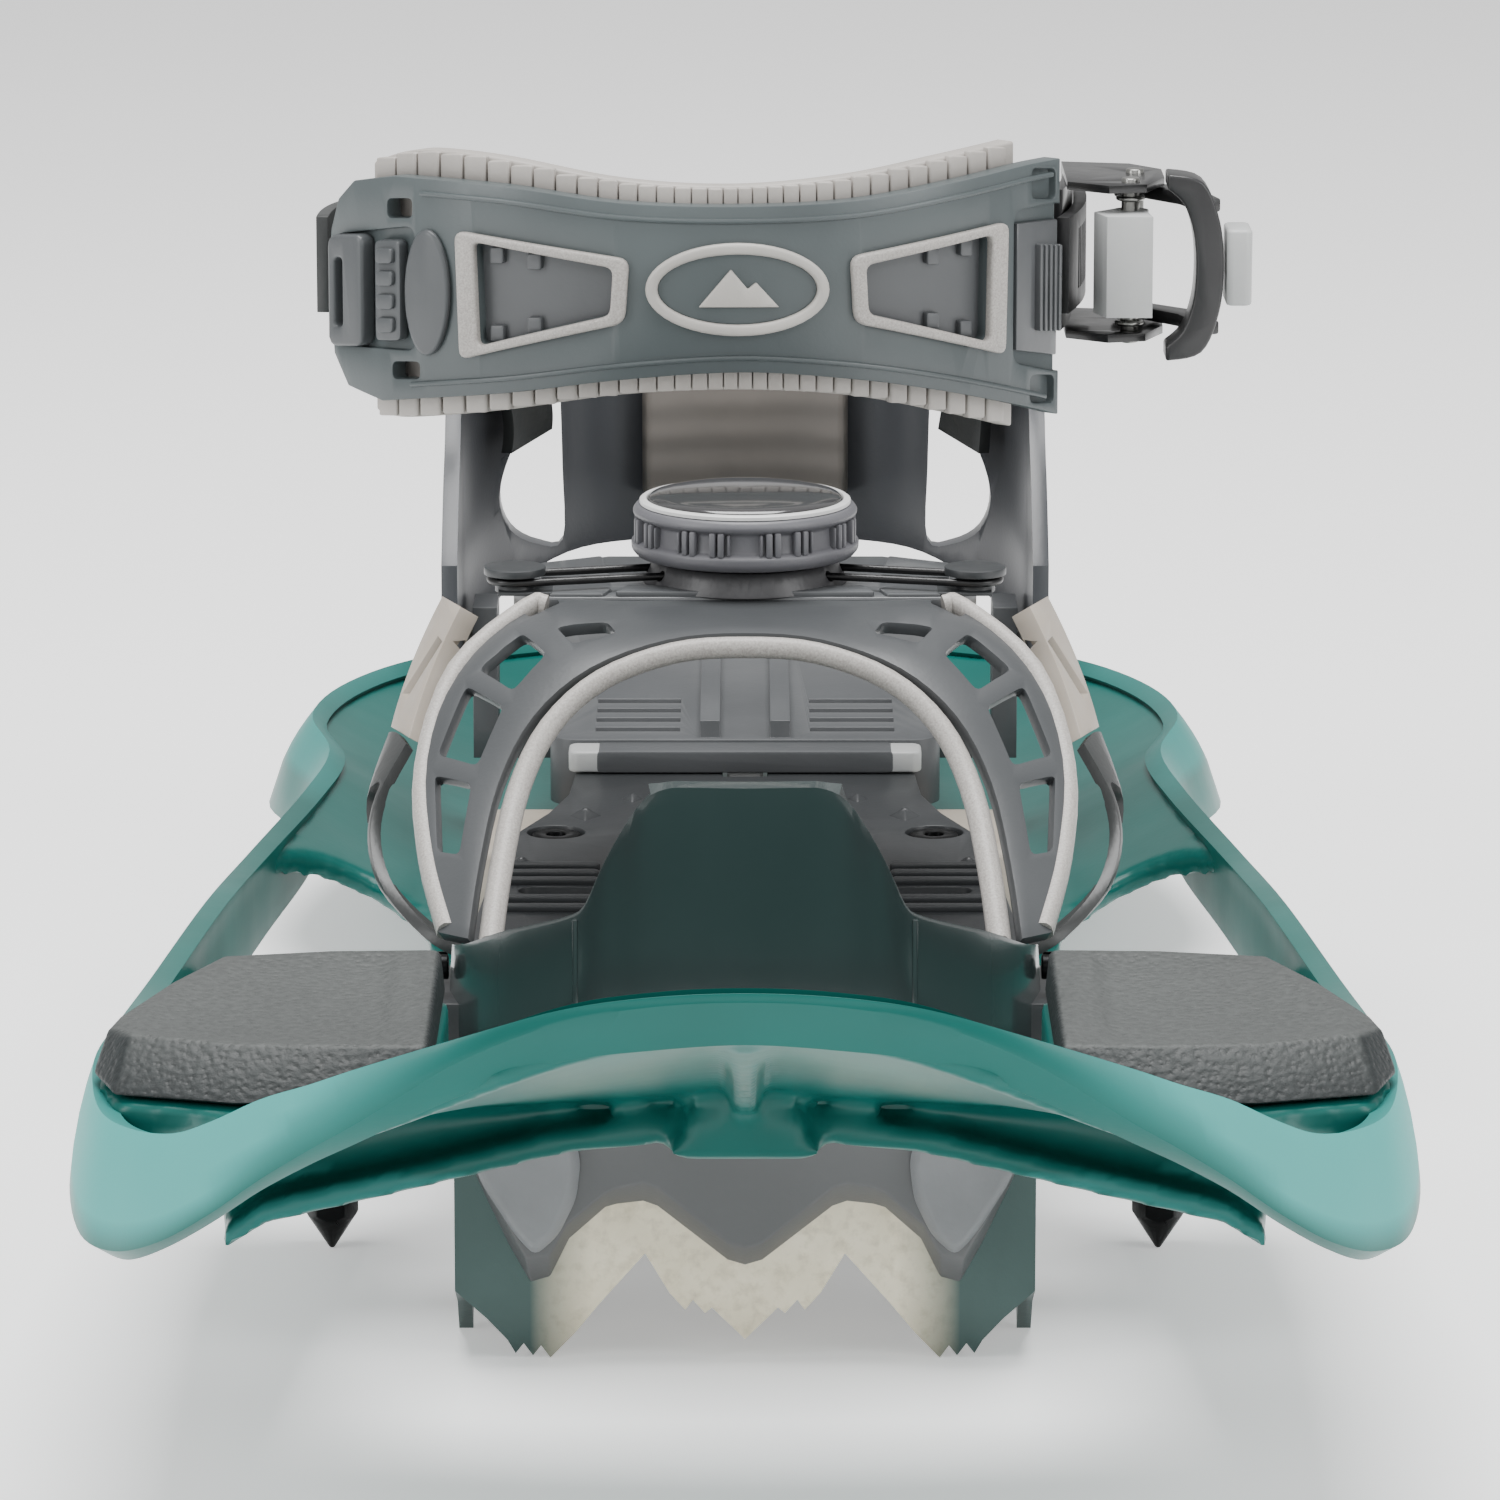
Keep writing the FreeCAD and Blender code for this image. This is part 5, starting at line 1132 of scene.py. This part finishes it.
badge_u = 8.6
ring = prism("badge_ring", oval(badge_u, 0, 17.6, 9.0, 48), "Y", 0.0, 2.0)
carve(ring, [prism("hole", oval(badge_u, 0, 15.3, 6.8, 48), "Y", *THROUGH)])
badge_parts = [round_edges(ring, 0.7, 3, 40.0)]
badge_face = round_edges(prism("badge_face", oval(badge_u, 0, 15.4, 6.9, 48), "Y", 0.02, 0.7), 0.2, 1)
dress(bent(badge_face), cuff_dark, "cuff", slot="cuff_badge")
peaks = [(-7.5, -3.4), (7.8, -3.4), (3.4, 1.4), (1.8, 0.1), (-1.4, 3.9)]
mark = prism("badge_mark", [(badge_u + u, v) for u, v in peaks], "Y", 0.5, 1.6)
badge_parts.append(round_edges(mark, 0.25, 2))
badge_light = plain("badge_rubber", (176, 174, 170), (206, 203, 198), 0.4, 60.0, 1800.0, 0.00008)
dress(bent(joined("badge", badge_parts), 50.0), badge_light, "cuff", "cuff_badge")

hook_grey = plain("hook_moulding", (84, 87, 89), (112, 115, 117), 0.38, 40.0, 1200.0, 0.00005)
bar = slab("hook_bar", (-80, -69.6), (10.6, -11.4), 2.4, "Y", -1.3, 2.6)
carve(bar, [slab("slot", (-78, -75.6), (6, -7.5), 1.0, "Y", *THROUGH)])
step = slab("hook_step", (-67.4, -60.6), (9.4, -10.4), 1.4, "Y", -1.3, 1.4)
disc = prism("hook_disc", oval(-54.4, -0.9, 5.4, 12.4, 32), "Y", -0.2, 1.5)
hooks = [round_edges(bar, 0.8, 3, 30.0), round_edges(step, 0.6, 2, 30.0), round_edges(disc, 0.9, 3, 30.0)]
for v in (-7.2, -2.6, 2.0, 6.4):
    nub = slab("hook_nub", (-66.2, -61.8), (v - 1.5, v + 1.5), 1.0, "Y", 1.2, 2.4)
    hooks.append(round_edges(nub, 0.4, 2))
dress(bent(joined("cuff_catch", hooks), 40.0), hook_grey, "cuff", "cuff_hook")
folds = []
for u in (75.4, 76.9, 78.4, 79.9, 81.4):
    folds.append(round_edges(slab("fold", (u, u + 1.0), (8.6, -8.6), 0.45, "Y", -1.4, 1.2), 0.35, 2, 30.0))
fold_back = prism("fold_back", [(70, 12.5), (82.6, 13.5), (82.6, -13.5), (70, -12.5)], "Y", -1.6, -0.2)
folds.append(round_edges(fold_back, 0.4, 2, 30.0))
dress(bent(joined("cuff_folds", folds), 40.0), smoke, "cuff", slot="cuff_shell")

liner_top_at = [(-75.2, 24.2), (-66, 26), (-57, 26.2), (-40, 24.4), (-15, 20.2), (9, 19), (33, 21), (56, 25),
                (75.2, 28.3)]
liner_low_at = [(-75.2, -25), (-66, -26.4), (-41, -24.8), (-15, -21.6), (9, -20.6), (33, -21.8), (56, -25.4),
                (75.2, -28.3)]
upper = edge_curve(liner_top_at, -75.2, 75.2, 8)
lower = edge_curve(liner_low_at, -75.2, 75.2, 8)
core = round_edges(prism("liner_core", upper + lower[::-1], "Y", -10.0, -5.6), 1.1, 3, 40.0)


def height_at(curve, u):
    return min(curve, key=lambda p: abs(p[0] - u))[1]


block_places = []
u = -73.0
while u < 74.0:
    pitch = 2.9 + 3.1 * min(1.0, abs(u - 8) / 66.0)
    middle = u + pitch / 2
    if middle < 73.4:
        for curve, direction in ((upper, -1), (lower, 1)):
            v = height_at(curve, middle) + direction * 3.1
            block_places.append(((middle, -5.2, v), (0, 0, 0), (pitch * 0.46, 1, 1)))
    u += pitch
liner_pale = plain("liner_foam", (172, 168, 164), (196, 192, 187), 0.5, 50.0, 1600.0, 0.00008)
blocks = repeat("liner_blocks", small_block("block", 2.0, 1.9, 5.6, 0.3), liner_pale, block_places)
dress(bent(joined("liner", [core, blocks]), 45.0), liner_pale, "cuff", "cuff_liner")

# ---------------------------------------------------------------------------
# Ankle buckle: black cheeks with steel pins and springs, a pale pawl, a toothed black strap
# and a dark crescent lever with a pale tab.
# ---------------------------------------------------------------------------
black_rubber = plain("strap_black", (24, 24, 26), (42, 42, 44), 0.45, 80.0, 1200.0)
black_paint = plain("black_paint", (30, 30, 31), (50, 50, 52), 0.3, 120.0, 900.0, 0.00004, Coat_Weight=0.2)
lever_dark = plain("lever_moulding", (46, 46, 47), (78, 78, 79), 0.32, 60.0, 900.0, 0.00005)
tidied("cuff_strap_link", "cuff", strap_rubber, ["cuff_link"], 0.5)
tidied("ladder", "cuff", black_rubber, ["ladder_strap"], 0.2)
tidied("buckle_cheeks", "highback", black_paint, ["ratchet_frame"], 0.35)
tidied("buckle_pins", "highback", zinc, ["ratchet_pins"], 0.3)
tidied("buckle_springs", "highback", zinc, ["ratchet_springs"], 0.0)
lever_x, lever_y, buckle_z = 77.5, 103.0, 157.5


def upright_bar(name, outline, low, high):
    """Solid from a plan (x, y) beside the lever's pin, between heights about the buckle's middle."""
    plan = [(lever_x + x, lever_y + y) for x, y in outline]
    return prism(name, plan, "Z", buckle_z + low, buckle_z + high)


hub_ring = oval(0, 0, 4.1, 4.1)
arm_line = [(-1, 4.0), (4, 1), (12.8, -8), (15.8, -21.5), (11.5, -23.5), (8, -12), (2, -4.0)]
horns = flow([(5.2, -18.5), (12.2, -16.8), (15.6, -9), (16.4, 0), (15.6, 9), (12.2, 16.8), (5.2, 18.5)], 5)
hollow = flow([(5.2, 15.6), (8.4, 12.6), (10.4, 7), (11, 0), (10.4, -7), (8.4, -12.6), (5.2, -15.6)], 5)
crescent = prism("crescent", [(lever_x + p.x, buckle_z + p.y) for p in horns + hollow], "Y", lever_y - 23.8,
                 lever_y - 14.2)
lever_parts = [round_edges(crescent, 1.3, 3, 30.0)]
for low, high in ((-13.5, -10.8), (10.8, 13.5)):
    lever_parts.append(round_edges(upright_bar("lever_arm", arm_line, low, high), 0.5, 2, 30.0))
    lever_parts.append(round_edges(upright_bar("lever_hub", hub_ring, low, high), 0.4, 2, 50.0))
dress(joined("crescent_lever", lever_parts), lever_dark, "lever", "ratchet_lever")
tidied("lever_tab", "lever", pale_nylon, ["lever_tip"], 0.6)
tidied("pale_pawl", "pawl", pale_nylon, ["ratchet_pawl"], 0.5)
